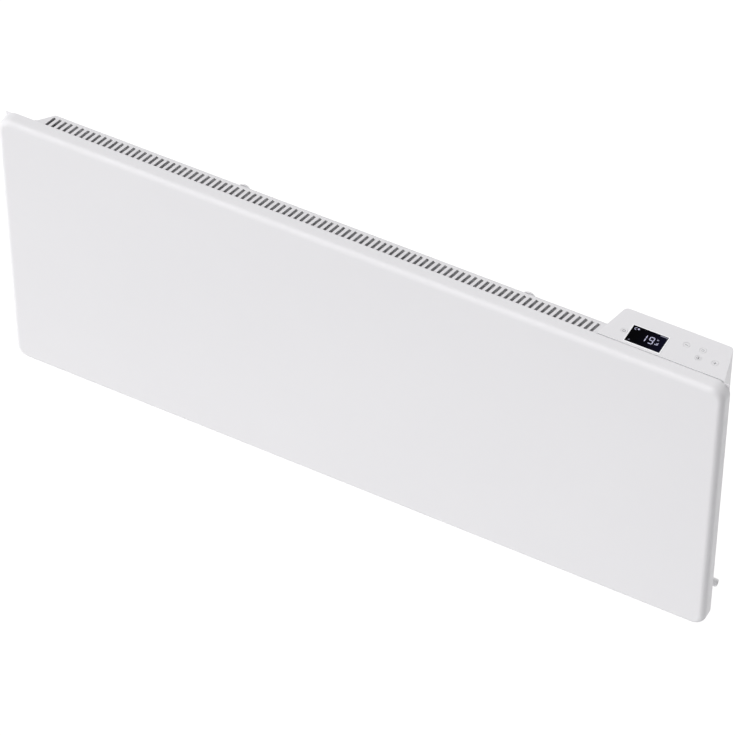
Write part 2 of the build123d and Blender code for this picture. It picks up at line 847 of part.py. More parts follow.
with BuildPart() as gland_locknut:
    with BuildSketch(gland_axis.offset(-entry_wall)):
        RegularPolygon(gland_hex / 2, 6, major_radius=False)
        RegularPolygon(gland_thread_diameter / 2 + fit_gap, round_sides, mode=Mode.SUBTRACT)
    extrude(amount=-locknut_thickness)
write(gland_locknut.part, "gland_locknut")

# ---------------------------------------------------------------- control housing

sensor_point = (control_centre, control_rear - sensor_back_gap)

with BuildPart() as control_housing:
    with BuildSketch(Plane.XY.offset(control_bottom)) as housing_plan:
        with BuildLine():
            Polyline(control_outline(0, control_front, control_rear), close=True)
        make_face()
        fillet(housing_plan.vertices().group_by(Axis.Y)[-1], radius=control_corner_radius)
    extrude(amount=fascia_bottom - control_bottom)
    offset(amount=-control_wall, openings=control_housing.faces().sort_by(Axis.Z)[-1])
    # board posts and the two fixing bosses on the floor
    with BuildSketch(Plane.XY.offset(control_bottom)):
        with Locations(*post_points):
            Rectangle(board_post, board_post)
    extrude(amount=board_bottom - control_bottom)
    with BuildSketch(Plane.XY.offset(control_bottom)):
        with Locations(*boss_points):
            Rectangle(housing_boss, housing_boss)
    extrude(amount=housing_boss_height)
    with BuildSketch(Plane.XY.offset(board_bottom)):
        with Locations(*post_points):
            RegularPolygon(board_screw_diameter / 2 + screw_gap, fastener_sides)
    extrude(amount=-board_screw_length, mode=Mode.SUBTRACT)
    with BuildSketch(Plane.XY.offset(control_bottom)):
        with Locations(*boss_points):
            RegularPolygon(sheet_screw_diameter / 2 + screw_gap, fastener_sides)
    extrude(amount=housing_boss_height - control_wall, mode=Mode.SUBTRACT)
    # floor openings: leads and sensor
    with BuildSketch(Plane.XY.offset(control_bottom)):
        with Locations((supply_x, element_y)):
            Rectangle(*supply_opening)
        with Locations((element_lead_x, element_y)):
            Rectangle(*element_lead_opening)
        with Locations(sensor_point):
            RegularPolygon(sensor_diameter / 2 + fit_gap, round_sides)
    extrude(amount=control_wall, mode=Mode.SUBTRACT)
write(control_housing.part, "control_housing")

with BuildPart() as housing_screws:
    with BuildSketch(Plane.XY.offset(control_bottom - casing_sheet - sheet_screw_head_height)):
        with Locations(*boss_points):
            RegularPolygon(sheet_screw_head / 2, fastener_sides)
    extrude(amount=sheet_screw_head_height)
    with BuildSketch(Plane.XY.offset(control_bottom - casing_sheet)):
        with Locations(*boss_points):
            RegularPolygon(sheet_screw_diameter / 2, fastener_sides)
    extrude(amount=sheet_screw_length)
write(housing_screws.part, "housing_screws")

with BuildPart() as room_sensor:
    with BuildSketch(Plane.XY.offset(control_bottom + sensor_seat)):
        with Locations(sensor_point):
            RegularPolygon(sensor_diameter / 2, round_sides)
    extrude(amount=-sensor_length)
write(room_sensor.part, "room_sensor")

# ---------------------------------------------------------------- fascia, window and keys

window_place = (control_centre + display_offset, behind(display_depth))
key_points = {
    "key_power": (control_centre + key_power_offset, behind(key_power_depth)),
    "key_minus": (control_centre + key_minus_offset, behind(key_minus_depth)),
    "key_timer": (control_centre + key_timer_offset, behind(key_timer_depth)),
    "key_mode": (control_centre + key_mode_offset, behind(key_mode_depth)),
    "key_plus": (control_centre + key_plus_offset, behind(key_plus_depth)),
}

with BuildPart() as control_fascia:
    with BuildSketch(Plane.XY.offset(fascia_bottom)) as fascia_plan:
        with BuildLine():
            Polyline(control_outline(0, control_front, control_rear), close=True)
        make_face()
        fillet(fascia_plan.vertices().group_by(Axis.Y)[-1], radius=control_corner_radius)
    extrude(amount=fascia_thickness)
    # raised rim around the display window
    with BuildSketch(Plane.XY.offset(panel_top)):
        with Locations(window_place):
            Rectangle(display_width + 2 * display_rim, display_height + 2 * display_rim)
    extrude(amount=display_rim_rise)
    # spigot that locates the fascia inside the housing
    spigot_in = control_wall + fit_gap
    with BuildSketch(Plane.XY.offset(fascia_bottom)) as spigot_plan:
        with BuildLine():
            Polyline(
                control_outline(spigot_in, control_front + spigot_in, control_rear - spigot_in),
                close=True,
            )
        make_face()
        fillet(spigot_plan.vertices().group_by(Axis.Y)[-1], radius=control_corner_radius - spigot_in)
        offset(amount=-fascia_spigot_wall, kind=Kind.INTERSECTION, mode=Mode.SUBTRACT)
    extrude(amount=-fascia_spigot)
    with BuildSketch(Plane.XY.offset(fascia_bottom)):
        with Locations(window_place):
            Rectangle(display_width, display_height)
        with Locations(*key_points.values()):
            RegularPolygon(key_diameter / 2 + key_gap, key_sides)
    extrude(amount=fascia_thickness + display_rim_rise, mode=Mode.SUBTRACT)
write(control_fascia.part, "control_fascia")

with BuildPart() as display_window:
    with BuildSketch(Plane.XY.offset(fascia_bottom)):
        with Locations(window_place):
            Rectangle(display_width - 2 * fit_gap, display_height - 2 * fit_gap)
    extrude(amount=fascia_thickness + display_rim_rise / 2)
    chamfer(display_window.faces().sort_by(Axis.Z)[-1].edges(), length=display_rim_rise / 2)
write(display_window.part, "display_window")

with BuildPart() as display_module:
    with BuildSketch(Plane.XY.offset(board_top)):
        with Locations(window_place):
            Rectangle(display_width + module_margin, display_height)
    extrude(amount=module_height)
write(display_module.part, "display_module")

for key_name, key_point in key_points.items():
    with BuildPart() as key:
        with BuildSketch(Plane.XY.offset(fascia_bottom - key_stop_gap - key_flange)):
            with Locations(key_point):
                Rectangle(key_flange_width, key_flange_width)
        extrude(amount=key_flange)
        with BuildSketch(Plane.XY.offset(fascia_bottom - key_stop_gap)):
            with Locations(key_point):
                RegularPolygon(key_diameter / 2, key_sides)
        extrude(amount=fascia_thickness + key_stop_gap)
        # stem, which ends just above the switch with the key pressed
        stem_bottom = board_top + switch_body + plunger_height + key_travel + key_stop_gap
        with BuildSketch(Plane.XY.offset(stem_bottom)):
            with Locations(key_point):
                Rectangle(key_stem_width, key_stem_width)
        extrude(amount=fascia_bottom - key_stop_gap - key_flange - stem_bottom)
    write(key.part, key_name)

# ---------------------------------------------------------------- control board

with BuildPart() as control_board:
    with BuildSketch(Plane.XY.offset(board_bottom)):
        with Locations(board_centre):
            Rectangle(board_width, board_depth)
        with Locations(*post_points):
            RegularPolygon(board_screw_diameter / 2 + screw_gap, fastener_sides, mode=Mode.SUBTRACT)
    extrude(amount=board_thickness)
    # relay and supply module on the underside, against the board's rear edge
    with BuildSketch(Plane.XY.offset(board_bottom)):
        with Locations((board_centre[0] - relay_offset, board_rear)):
            Rectangle(relay_length, relay_depth, align=(Align.CENTER, Align.MAX))
    extrude(amount=-relay_height)
    with BuildSketch(Plane.XY.offset(board_bottom)):
        with Locations((board_centre[0] + relay_offset, board_rear)):
            Rectangle(supply_block_length, supply_block_depth, align=(Align.CENTER, Align.MAX))
    extrude(amount=-supply_block_height)
write(control_board.part, "control_board")

with BuildPart() as board_screws:
    with BuildSketch(Plane.XY.offset(board_top)):
        with Locations(*post_points):
            RegularPolygon(board_screw_head / 2, fastener_sides)
    extrude(amount=board_screw_head_height)
    with BuildSketch(Plane.XY.offset(board_top)):
        with Locations(*post_points):
            RegularPolygon(board_screw_diameter / 2, fastener_sides)
    extrude(amount=-board_screw_length)
write(board_screws.part, "board_screws")

with BuildPart() as key_switches:
    with BuildSketch(Plane.XY.offset(board_top)):
        with Locations(*key_points.values()):
            Rectangle(switch_side, switch_side)
    extrude(amount=switch_body)
    with BuildSketch(Plane.XY.offset(board_top + switch_body)):
        with Locations(*key_points.values()):
            Rectangle(plunger_width, plunger_width)
    extrude(amount=plunger_height)
write(key_switches.part, "key_switches")

# ---------------------------------------------------------------- internal leads

block_top = block_z + block_height / 2
supply_y = casing_rear + block_depth / 2

with BuildPart() as supply_lead:
    with BuildSketch(Plane.YZ.offset(supply_x - lead_width / 2)):
        with BuildLine():
            FilletPolyline(
                (supply_y, block_top),
                (supply_y, supply_hole_z),
                (element_y, supply_hole_z),
                (element_y, board_bottom),
                radius=lead_bend,
            )
        trace(line_width=lead_thickness)
    extrude(amount=lead_width)
write(supply_lead.part, "supply_lead")

with BuildPart() as element_lead:
    with BuildSketch(at_y(element_y + lead_width / 2)):
        with BuildLine():
            FilletPolyline(
                (connector_right, element_z),
                (element_lead_x, element_z),
                (element_lead_x, board_bottom),
                radius=element_lead_bend,
            )
        trace(line_width=lead_thickness)
    extrude(amount=lead_width)
write(element_lead.part, "element_lead")

# ---------------------------------------------------------------- wall bracket

foot_centre = web_width / 2 + foot_width / 2
window_height = loop_height + lift_travel + 2.0
wall_top = panel_bottom + upright_wall_top
rail_zs = (screw_spacing / 2, -screw_spacing / 2)
rivet_rows = [z + step for z in rail_zs for step in (-rail_height / 4, rail_height / 4)]

for hook_x, upright_name in zip(hook_xs, ("bracket_upright_left", "bracket_upright_right")):
    outward = math.copysign(1, hook_x)
    with BuildPart() as upright:
        # hat section with cropped bends, feet on the wall
        with BuildSketch(Plane.XY.offset(panel_bottom + upright_bottom)) as hat:
            with BuildLine():
                half = web_width / 2 - bracket_sheet / 2
                foot_y = -bracket_sheet / 2
                web_y = web_front + bracket_sheet / 2
                Polyline(
                    (hook_x - web_width / 2 - foot_width, foot_y),
                    (hook_x - half, foot_y),
                    (hook_x - half, web_y),
                    (hook_x + half, web_y),
                    (hook_x + half, foot_y),
                    (hook_x + web_width / 2 + foot_width, foot_y),
                )
            trace(line_width=bracket_sheet)
            bends = hat.vertices().filter_by(lambda corner: abs(corner.X - hook_x) < web_width / 2 + 0.1)
            chamfer(bends, length=bracket_bend)
        extrude(amount=upper_shoulder - panel_bottom - upright_bottom)
        # sides slope down from the web to the wall
        with BuildSketch(Plane.YZ.offset(hook_x)):
            with BuildLine():
                Polyline(
                    (web_rear + bracket_bend, upper_shoulder),
                    (bracket_sheet, wall_top),
                    (bracket_sheet, tongue_tip),
                    (web_rear + bracket_bend, tongue_tip),
                    close=True,
                )
            make_face()
        extrude(amount=web_width, both=True, mode=Mode.SUBTRACT)
        # upper tongue
        with BuildSketch(at_y(web_rear)):
            with Locations((hook_x, tongue_tip - tongue_width / 2)):
                Circle(tongue_width / 2)
            with Locations((hook_x, upper_shoulder - bracket_sheet)):
                Rectangle(
                    tongue_width,
                    tongue_length + bracket_sheet - tongue_width / 2,
                    align=(Align.CENTER, Align.MIN),
                )
        extrude(amount=bracket_sheet)
        # lower window with its own tongue
        with BuildSketch(at_y(web_rear)):
            with Locations((hook_x, lower_shoulder)):
                Rectangle(lower_window_width, window_height, align=(Align.CENTER, Align.MIN))
                Rectangle(
                    tongue_width,
                    tongue_length - tongue_width / 2,
                    align=(Align.CENTER, Align.MIN),
                    mode=Mode.SUBTRACT,
                )
            with Locations((hook_x, lower_shoulder + tongue_length - tongue_width / 2)):
                Circle(tongue_width / 2, mode=Mode.SUBTRACT)
        extrude(amount=bracket_sheet, mode=Mode.SUBTRACT)
        # wall screw holes in the outer foot, rivet holes in the inner foot
        with BuildSketch(at_y(0)):
            with Locations(*[(hook_x + outward * foot_centre, z) for z in rail_zs]):
                Circle(wall_screw_hole / 2)
            with Locations(*[(hook_x - outward * foot_centre, z) for z in rivet_rows]):
                RegularPolygon(rivet_diameter / 2 + screw_gap, fastener_sides)
        extrude(amount=bracket_sheet, mode=Mode.SUBTRACT)
    write(upright.part, upright_name)

rail_end = hook_spacing / 2 - web_width / 2 - rail_end_gap
rivet_x = hook_spacing / 2 - foot_centre
rivet_points = [(x, z) for x in (-rivet_x, rivet_x) for z in rivet_rows]
rail_front = -bracket_sheet

for rail_z, rail_name in zip(rail_zs, ("bracket_rail_upper", "bracket_rail_lower")):
    with BuildPart() as rail:
        with BuildSketch(Plane.YZ.offset(-rail_end)):
            with BuildLine():
                web_y = rail_front - rail_sheet / 2
                tip_y = rail_front - rail_flange
                half = rail_height / 2 - rail_sheet / 2
                Polyline(
                    (tip_y, rail_z - half),
                    (web_y, rail_z - half),
                    (web_y, rail_z + half),
                    (tip_y, rail_z + half),
                )
            trace(line_width=rail_sheet)
        extrude(amount=2 * rail_end)
        with BuildSketch(at_y(rail_front)):
            with Locations(*rivet_points):
                RegularPolygon(rivet_diameter / 2 + screw_gap, fastener_sides)
        extrude(amount=rail_sheet, mode=Mode.SUBTRACT)
    write(rail.part, rail_name)

with BuildPart() as bracket_rivets:
    with BuildSketch(at_y(rail_front - rail_sheet)):
        with Locations(*rivet_points):
            RegularPolygon(rivet_head / 2, fastener_sides)
    extrude(amount=rivet_head_height)
    with BuildSketch(at_y(0)):
        with Locations(*rivet_points):
            RegularPolygon(rivet_diameter / 2, fastener_sides)
    extrude(amount=bracket_sheet + rail_sheet)
write(bracket_rivets.part, "bracket_rivets")
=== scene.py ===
"""Wall panel convector heater: materials, small detailed pieces, light and camera.

Metres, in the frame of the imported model: +X to the right along the wall, the front faces -Y, +Z up.
"""
import json
import math

import bmesh
import bpy
from mathutils import Matrix, Vector


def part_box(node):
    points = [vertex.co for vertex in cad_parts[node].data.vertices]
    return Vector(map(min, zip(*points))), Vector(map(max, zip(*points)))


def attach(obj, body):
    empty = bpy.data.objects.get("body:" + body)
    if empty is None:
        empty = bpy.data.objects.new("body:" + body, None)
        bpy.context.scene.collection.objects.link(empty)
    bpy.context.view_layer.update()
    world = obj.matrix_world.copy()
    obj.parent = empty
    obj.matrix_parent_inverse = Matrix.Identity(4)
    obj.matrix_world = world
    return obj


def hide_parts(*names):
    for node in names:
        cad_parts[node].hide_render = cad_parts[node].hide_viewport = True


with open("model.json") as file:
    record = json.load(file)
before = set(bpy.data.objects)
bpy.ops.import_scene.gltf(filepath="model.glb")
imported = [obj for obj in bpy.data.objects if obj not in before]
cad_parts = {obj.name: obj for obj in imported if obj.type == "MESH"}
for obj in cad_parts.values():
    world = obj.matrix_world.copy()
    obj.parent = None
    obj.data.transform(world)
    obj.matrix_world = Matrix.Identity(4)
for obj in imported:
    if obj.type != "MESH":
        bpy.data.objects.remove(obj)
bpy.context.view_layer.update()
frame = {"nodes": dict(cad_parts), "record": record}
nodes = frame["nodes"]

MM = 0.001
PANEL_WIDTH, PANEL_HEIGHT = 867.0, 370.0
PANEL_LEFT, PANEL_FRONT, PANEL_BOTTOM = -456.0, -84.0, -170.0
RIGHTWARD, BACKWARD, FORWARD = (1, 0, 0), (0, 1, 0), (0, -1, 0)
UPWARD, DOWNWARD = (0, 0, 1), (0, 0, -1)


def place(x, y, z):
    """A point from millimetres right of the panel's left edge, behind its front and above its bottom."""
    return Vector(((x + PANEL_LEFT) * MM, (y + PANEL_FRONT) * MM, (z + PANEL_BOTTOM) * MM))


def middle(low, high):
    return (Vector(low) + Vector(high)) / 2


def add_object(name, data):
    """A new object in the scene."""
    thing = bpy.data.objects.new(name, data)
    bpy.context.scene.collection.objects.link(thing)
    return thing


# ------------------------------------------------------------------ node-building helpers

# most of a noise texture's values lie between these two
NOISE_LOW, NOISE_HIGH = 0.3, 0.7


class Shader:
    """One material with a Principled shader and short helpers for its nodes.

    Texture scales are features per metre, and distances are metres.
    """

    def __init__(self, name, color, roughness, metallic=0.0, specular=0.5):
        self.material = bpy.data.materials.new(name)
        self.material.use_nodes = True
        self.tree = self.material.node_tree
        self.shader = self.tree.nodes["Principled BSDF"]
        self.shader.inputs["Base Color"].default_value = (*color, 1.0)
        self.shader.inputs["Roughness"].default_value = roughness
        self.shader.inputs["Metallic"].default_value = metallic
        self.shader.inputs["Specular IOR Level"].default_value = specular
        self.coordinates = self.tree.nodes.new("ShaderNodeTexCoord").outputs["Object"]
        self.normal = None

    def link(self, source, target):
        self.tree.links.new(source, target)

    def along(self, x, y, z):
        """Distance in one direction."""
        node = self.tree.nodes.new("ShaderNodeVectorMath")
        node.operation = "DOT_PRODUCT"
        node.inputs[1].default_value = (x, y, z)
        self.link(self.coordinates, node.inputs[0])
        return node.outputs["Value"]

    def stretched(self, x, y, z):
        """Coordinates with a scale for each axis."""
        mapping = self.tree.nodes.new("ShaderNodeMapping")
        mapping.inputs["Scale"].default_value = (x, y, z)
        self.link(self.coordinates, mapping.inputs["Vector"])
        return mapping.outputs["Vector"]

    def noise(self, scale, detail, roughness=0.5, vector=None):
        node = self.tree.nodes.new("ShaderNodeTexNoise")
        node.inputs["Scale"].default_value = scale
        node.inputs["Detail"].default_value = detail
        node.inputs["Roughness"].default_value = roughness
        self.link(vector or self.coordinates, node.inputs["Vector"])
        return node.outputs["Fac"]

    def cells(self, scale, feature="F1", output="Distance"):
        node = self.tree.nodes.new("ShaderNodeTexVoronoi")
        node.feature = feature
        node.inputs["Scale"].default_value = scale
        self.link(self.coordinates, node.inputs["Vector"])
        return node.outputs[output]

    def spread(self, value, low, high, start=NOISE_LOW, end=NOISE_HIGH):
        """From low to high while value goes from start to end."""
        node = self.tree.nodes.new("ShaderNodeMapRange")
        node.inputs["From Min"].default_value = start
        node.inputs["From Max"].default_value = end
        node.inputs["To Min"].default_value = low
        node.inputs["To Max"].default_value = high
        self.link(value, node.inputs["Value"])
        return node.outputs["Result"]

    def ramp(self, value, *stops):
        """Colours over value, from (position, color) pairs."""
        node = self.tree.nodes.new("ShaderNodeValToRGB")
        elements = node.color_ramp.elements
        for index, (position, color) in enumerate((stops[0], stops[-1])):
            elements[index].position = position
            elements[index].color = (*color, 1.0)
        for position, color in stops[1:-1]:
            element = elements.new(position)
            element.color = (*color, 1.0)
        self.link(value, node.inputs["Fac"])
        return node.outputs["Color"]

    def color(self, value, *stops):
        self.link(self.ramp(value, *stops), self.shader.inputs["Base Color"])

    def rough(self, value, low, high, start=NOISE_LOW, end=NOISE_HIGH):
        self.link(self.spread(value, low, high, start, end), self.shader.inputs["Roughness"])

    def glow(self, strength, value, *stops):
        self.link(self.ramp(value, *stops), self.shader.inputs["Emission Color"])
        self.shader.inputs["Emission Strength"].default_value = strength

    def bump(self, height, strength, distance):
        """Relief on top of the relief so far."""
        node = self.tree.nodes.new("ShaderNodeBump")
        node.inputs["Strength"].default_value = strength
        node.inputs["Distance"].default_value = distance
        self.link(height, node.inputs["Height"])
        if self.normal:
            self.link(self.normal, node.inputs["Normal"])
        self.normal = node.outputs["Normal"]
        self.link(self.normal, self.shader.inputs["Normal"])


# ------------------------------------------------------------------ materials

MOULD_GRAIN, MOULD_DEPTH = 2600.0, 0.00003
SPANGLE_SCALE = 110.0
# painted reflection: the window turns lighter and bluer between these millimetres right of the panel's left
# edge
PAINTED_REFLECTION_FROM, PAINTED_REFLECTION_TO = 752.0, 783.0


def powder_coat(name, low, high):
    """Satin stove enamel: slow tint drift, uneven gloss, orange peel and a fine grain."""
    paint = Shader(name, low, 0.42)
    paint.color(paint.noise(5.0, 4.0), (NOISE_LOW, low), (NOISE_HIGH, high))
    paint.rough(paint.noise(90.0, 3.0), 0.36, 0.50)
    paint.bump(paint.noise(900.0, 2.0), 0.30, 0.00008)
    paint.bump(paint.noise(5200.0, 1.0), 0.25, 0.00002)
    return paint.material


def moulded(name, low, high, roughness):
    """Spark-eroded moulding texture: faint flow marks, rounded cells and finer noise between them."""
    plastic = Shader(name, low, roughness)
    flow = plastic.noise(9.0, 3.0, vector=plastic.stretched(1.0, 4.0, 1.0))
    plastic.color(flow, (NOISE_LOW, low), (NOISE_HIGH, high))
    plastic.rough(plastic.noise(240.0, 2.0), roughness - 0.06, roughness + 0.08)
    plastic.bump(plastic.cells(MOULD_GRAIN, "SMOOTH_F1"), 0.35, MOULD_DEPTH)
    plastic.bump(plastic.noise(MOULD_GRAIN * 2.5, 1.0), 0.2, MOULD_DEPTH * 0.5)
    return plastic.material


def lit_segments(name, low, high, strength):
    """Glowing segments behind the window, a little uneven."""
    lamp = Shader(name, (0.02, 0.02, 0.03), 0.4, specular=0.1)
    lamp.glow(strength, lamp.noise(900.0, 2.0), (NOISE_LOW, low), (NOISE_HIGH, high))
    lamp.rough(lamp.noise(700.0, 2.0), 0.3, 0.5)
    return lamp.material


white_paint = powder_coat("satin_white_paint", (0.744, 0.736, 0.755), (0.756, 0.748, 0.766))
# white bracket paint, set lighter than the panel's white as painted light on the bracket's pieces, which
# sit in shade behind the panel
bracket_paint_painted_light = powder_coat("bracket_paint_painted_light", (0.79, 0.785, 0.80), (0.81, 0.805, 0.82))
white_plastic = moulded("moulded_white", (0.744, 0.736, 0.755), (0.757, 0.749, 0.768), 0.48)
grey_plastic = moulded("moulded_grey", (0.76, 0.76, 0.77), (0.79, 0.79, 0.80), 0.52)
black_plastic = moulded("moulded_black", (0.018, 0.018, 0.020), (0.026, 0.026, 0.030), 0.50)

window = Shader("display_window", (0.002, 0.002, 0.003), 0.07, specular=0.02)
# painted reflection: the window's colour runs lighter and bluer toward its right
window.color(
    window.spread(window.along(1.0, 0.0, 0.0), 0.0, 1.0, place(PAINTED_REFLECTION_FROM, 0, 0).x, place(PAINTED_REFLECTION_TO, 0, 0).x),
    (0.0, (0.0012, 0.0012, 0.0016)),
    (0.5, (0.002, 0.002, 0.005)),
    (1.0, (0.004, 0.004, 0.014)),
)
window.rough(window.noise(160.0, 5.0, 0.6), 0.04, 0.12)
window.bump(window.noise(45.0, 1.0), 0.05, 0.00002)

zinc = Shader("zinc_plate", (0.72, 0.72, 0.71), 0.28, metallic=1.0)
zinc.color(
    zinc.noise(420.0, 4.0),
    (0.3, (0.66, 0.665, 0.67)),
    (0.55, (0.74, 0.74, 0.73)),
    (0.75, (0.78, 0.765, 0.71)),
)
zinc.rough(zinc.noise(1500.0, 3.0), 0.2, 0.42)
zinc.bump(zinc.noise(3200.0, 2.0), 0.2, 0.00002)
plated_steel = zinc.material

spangle = Shader("spangled_zinc", (0.60, 0.62, 0.64), 0.36, metallic=1.0)
flake = spangle.tree.nodes.new("ShaderNodeRGBToBW")
spangle.link(spangle.cells(SPANGLE_SCALE, output="Color"), flake.inputs["Color"])
spangle.color(flake.outputs["Val"], (0.2, (0.50, 0.52, 0.54)), (0.8, (0.68, 0.69, 0.70)))
spangle.rough(flake.outputs["Val"], 0.25, 0.52, start=0.2, end=0.8)
spangle.bump(spangle.cells(SPANGLE_SCALE, "DISTANCE_TO_EDGE"), 0.15, 0.00003)

drawn = Shader("drawn_aluminium", (0.76, 0.765, 0.77), 0.34, metallic=1.0)
lines = drawn.noise(1.0, 3.0, 0.6, drawn.stretched(14.0, 2600.0, 2600.0))
drawn.color(lines, (NOISE_LOW, (0.68, 0.685, 0.69)), (NOISE_HIGH, (0.80, 0.80, 0.805)))
drawn.rough(lines, 0.26, 0.46)
drawn.bump(lines, 0.25, 0.00002)

oxide = Shader("heated_tube", (0.30, 0.27, 0.24), 0.45, metallic=1.0)
oxide.color(
    oxide.noise(1.0, 3.0, vector=oxide.stretched(26.0, 90.0, 90.0)),
    (0.25, (0.20, 0.18, 0.19)),
    (0.5, (0.33, 0.28, 0.22)),
    (0.75, (0.40, 0.38, 0.36)),
)
oxide.rough(oxide.noise(700.0, 4.0), 0.34, 0.58)
oxide.bump(oxide.noise(2600.0, 3.0), 0.3, 0.00002)

steatite = Shader("steatite", (0.80, 0.77, 0.70), 0.72)
steatite.color(steatite.noise(300.0, 5.0), (0.35, (0.77, 0.735, 0.66)), (0.65, (0.83, 0.80, 0.74)))
steatite.rough(steatite.noise(900.0, 3.0), 0.62, 0.82)
steatite.bump(steatite.noise(2400.0, 4.0, 0.7), 0.5, 0.00005)

pad = Shader("pad_rubber", (0.05, 0.05, 0.052), 0.8)
pad.color(pad.noise(600.0, 4.0), (NOISE_LOW, (0.038, 0.038, 0.04)), (NOISE_HIGH, (0.065, 0.065, 0.068)))
pad.rough(pad.noise(900.0, 2.0), 0.7, 0.9)
pad.bump(pad.cells(1800.0), 0.5, 0.00006)

laminate = Shader("board_laminate", (0.015, 0.11, 0.045), 0.35)
tracks = laminate.tree.nodes.new("ShaderNodeTexBrick")
tracks.inputs["Scale"].default_value = 260.0
tracks.inputs["Color1"].default_value = (0.02, 0.16, 0.06, 1.0)
tracks.inputs["Color2"].default_value = (0.015, 0.12, 0.045, 1.0)
tracks.inputs["Mortar"].default_value = (0.008, 0.06, 0.025, 1.0)
laminate.link(laminate.coordinates, tracks.inputs["Vector"])
laminate.link(tracks.outputs["Color"], laminate.shader.inputs["Base Color"])
laminate.rough(laminate.noise(500.0, 2.0), 0.28, 0.42)
laminate.bump(tracks.outputs["Fac"], 0.3, 0.00004)

sleeve = Shader("woven_sleeve", (0.72, 0.71, 0.68), 0.75)
weave = sleeve.tree.nodes.new("ShaderNodeTexWave")
weave.bands_direction = "DIAGONAL"
weave.inputs["Scale"].default_value = 420.0
weave.inputs["Distortion"].default_value = 1.5
sleeve.link(sleeve.coordinates, weave.inputs["Vector"])
sleeve.color(weave.outputs["Fac"], (0.2, (0.60, 0.59, 0.56)), (0.8, (0.76, 0.75, 0.72)))
sleeve.rough(sleeve.noise(800.0, 2.0), 0.66, 0.86)
sleeve.bump(weave.outputs["Fac"], 0.6, 0.0002)

ink = Shader("grey_print", (0.30, 0.305, 0.32), 0.6)
ink.color(ink.noise(2200.0, 3.0), (NOISE_LOW, (0.26, 0.265, 0.28)), (NOISE_HIGH, (0.33, 0.335, 0.35)))
ink.rough(ink.noise(3000.0, 2.0), 0.5, 0.7)
ink.bump(ink.noise(4000.0, 2.0), 0.2, 0.00001)
print_grey = ink.material

dark = Shader("dark_print", (0.08, 0.08, 0.09), 0.55)
dark.color(dark.noise(2200.0, 3.0), (NOISE_LOW, (0.06, 0.06, 0.07)), (NOISE_HIGH, (0.10, 0.10, 0.11)))
dark.rough(dark.noise(3000.0, 2.0), 0.45, 0.65)
print_dark = dark.material

lit = lit_segments("lit_figures", (0.66, 0.65, 0.92), (0.80, 0.80, 1.0), 0.75)
faint = lit_segments("faint_signs", (0.60, 0.60, 0.78), (0.72, 0.72, 0.86), 0.35)

materials = {
    "white_paint": white_paint,
    "white_plastic": white_plastic,
    "grey_plastic": grey_plastic,
    "black_plastic": black_plastic,
    "display_glass": window.material,
    "bracket_steel": bracket_paint_painted_light,
    "plated_steel": plated_steel,
    "galvanised_sheet": spangle.material,
    "element_aluminium": drawn.material,
    "rod_steel": oxide.material,
    "ceramic_white": steatite.material,
    "grey_rubber": pad.material,
    "board_green": laminate.material,
    "lead_silicone": sleeve.material,
}


def dress(name, material):
    """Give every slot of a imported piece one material."""
    node = nodes[name]
    for index in range(len(node.material_slots)):
        node.material_slots[index].material = material


for part in frame["record"]["subparts"]:
    dress(part["node"], materials[part["material_slot"]])

# the fascia's raised frame round the display is polished and a lighter white, and the fascia's front edge
# down in the seam gets the same lighter white as painted light against the seam's shade;
# millimetres where the frame starts in height and where the painted edge light ends in depth
RAISED_FROM, RAISED_TO = 370.10, 370.2
PAINTED_EDGE_LIGHT_FULL, PAINTED_EDGE_LIGHT_END = 18.34, 18.4
FASCIA_WHITE, FRAME_AND_PAINTED_EDGE_LIGHT_WHITE = (0.75, 0.742, 0.762), (0.93, 0.93, 0.95)

fascia = Shader("fascia_white", FASCIA_WHITE, 0.48)
raised = fascia.spread(
    fascia.along(0.0, 0.0, 1.0), 0.0, 1.0, place(0, 0, RAISED_FROM).z, place(0, 0, RAISED_TO).z
)
# painted light: the fascia's front edge down in the seam is lightened against the shade that falls there
painted_edge_light = fascia.spread(
    fascia.along(0.0, 1.0, 0.0), 1.0, 0.0, place(0, PAINTED_EDGE_LIGHT_FULL, 0).y, place(0, PAINTED_EDGE_LIGHT_END, 0).y
)
frame_or_painted_edge_light = fascia.tree.nodes.new("ShaderNodeMath")
frame_or_painted_edge_light.operation = "MAXIMUM"
fascia.link(raised, frame_or_painted_edge_light.inputs[0])
fascia.link(painted_edge_light, frame_or_painted_edge_light.inputs[1])
# the frame's own lighter white, and painted light on the seam's front edge
fascia.color(frame_or_painted_edge_light.outputs["Value"], (0.0, FASCIA_WHITE), (1.0, FRAME_AND_PAINTED_EDGE_LIGHT_WHITE))
fascia.rough(raised, 0.48, 0.22, start=0.0, end=1.0)
fascia.bump(fascia.cells(MOULD_GRAIN, "SMOOTH_F1"), 0.3, MOULD_DEPTH)
grille_paint = powder_coat("grille_paint", (0.712, 0.705, 0.724), (0.726, 0.718, 0.738))
dress("control_fascia", fascia.material)
dress("top_grille", grille_paint)
dress("bottom_grille", grille_paint)


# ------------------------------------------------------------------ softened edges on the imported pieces

WELD_DISTANCE = 0.000002
FLAT_ANGLE = math.radians(0.4)
HARD_EDGE = math.radians(35.0)

# bevel widths in millimetres
SOFT_EDGES = {
    "control_fascia": 0.1,
    "control_housing": 0.5,
    "terminal_cover": 0.9,
    "gland_locknut": 0.4,
    "terminal_block": 0.4,
    "element_connector": 0.6,
    "element_bushes": 0.5,
    "element_hangers": 0.25,
    "spacer_pads": 1.2,
    "top_grille": 0.25,
    "bottom_grille": 0.25,
    "hanging_loops": 0.35,
    "bracket_upright_left": 0.35,
    "bracket_upright_right": 0.35,
    "bracket_rail_upper": 0.35,
    "bracket_rail_lower": 0.35,
}


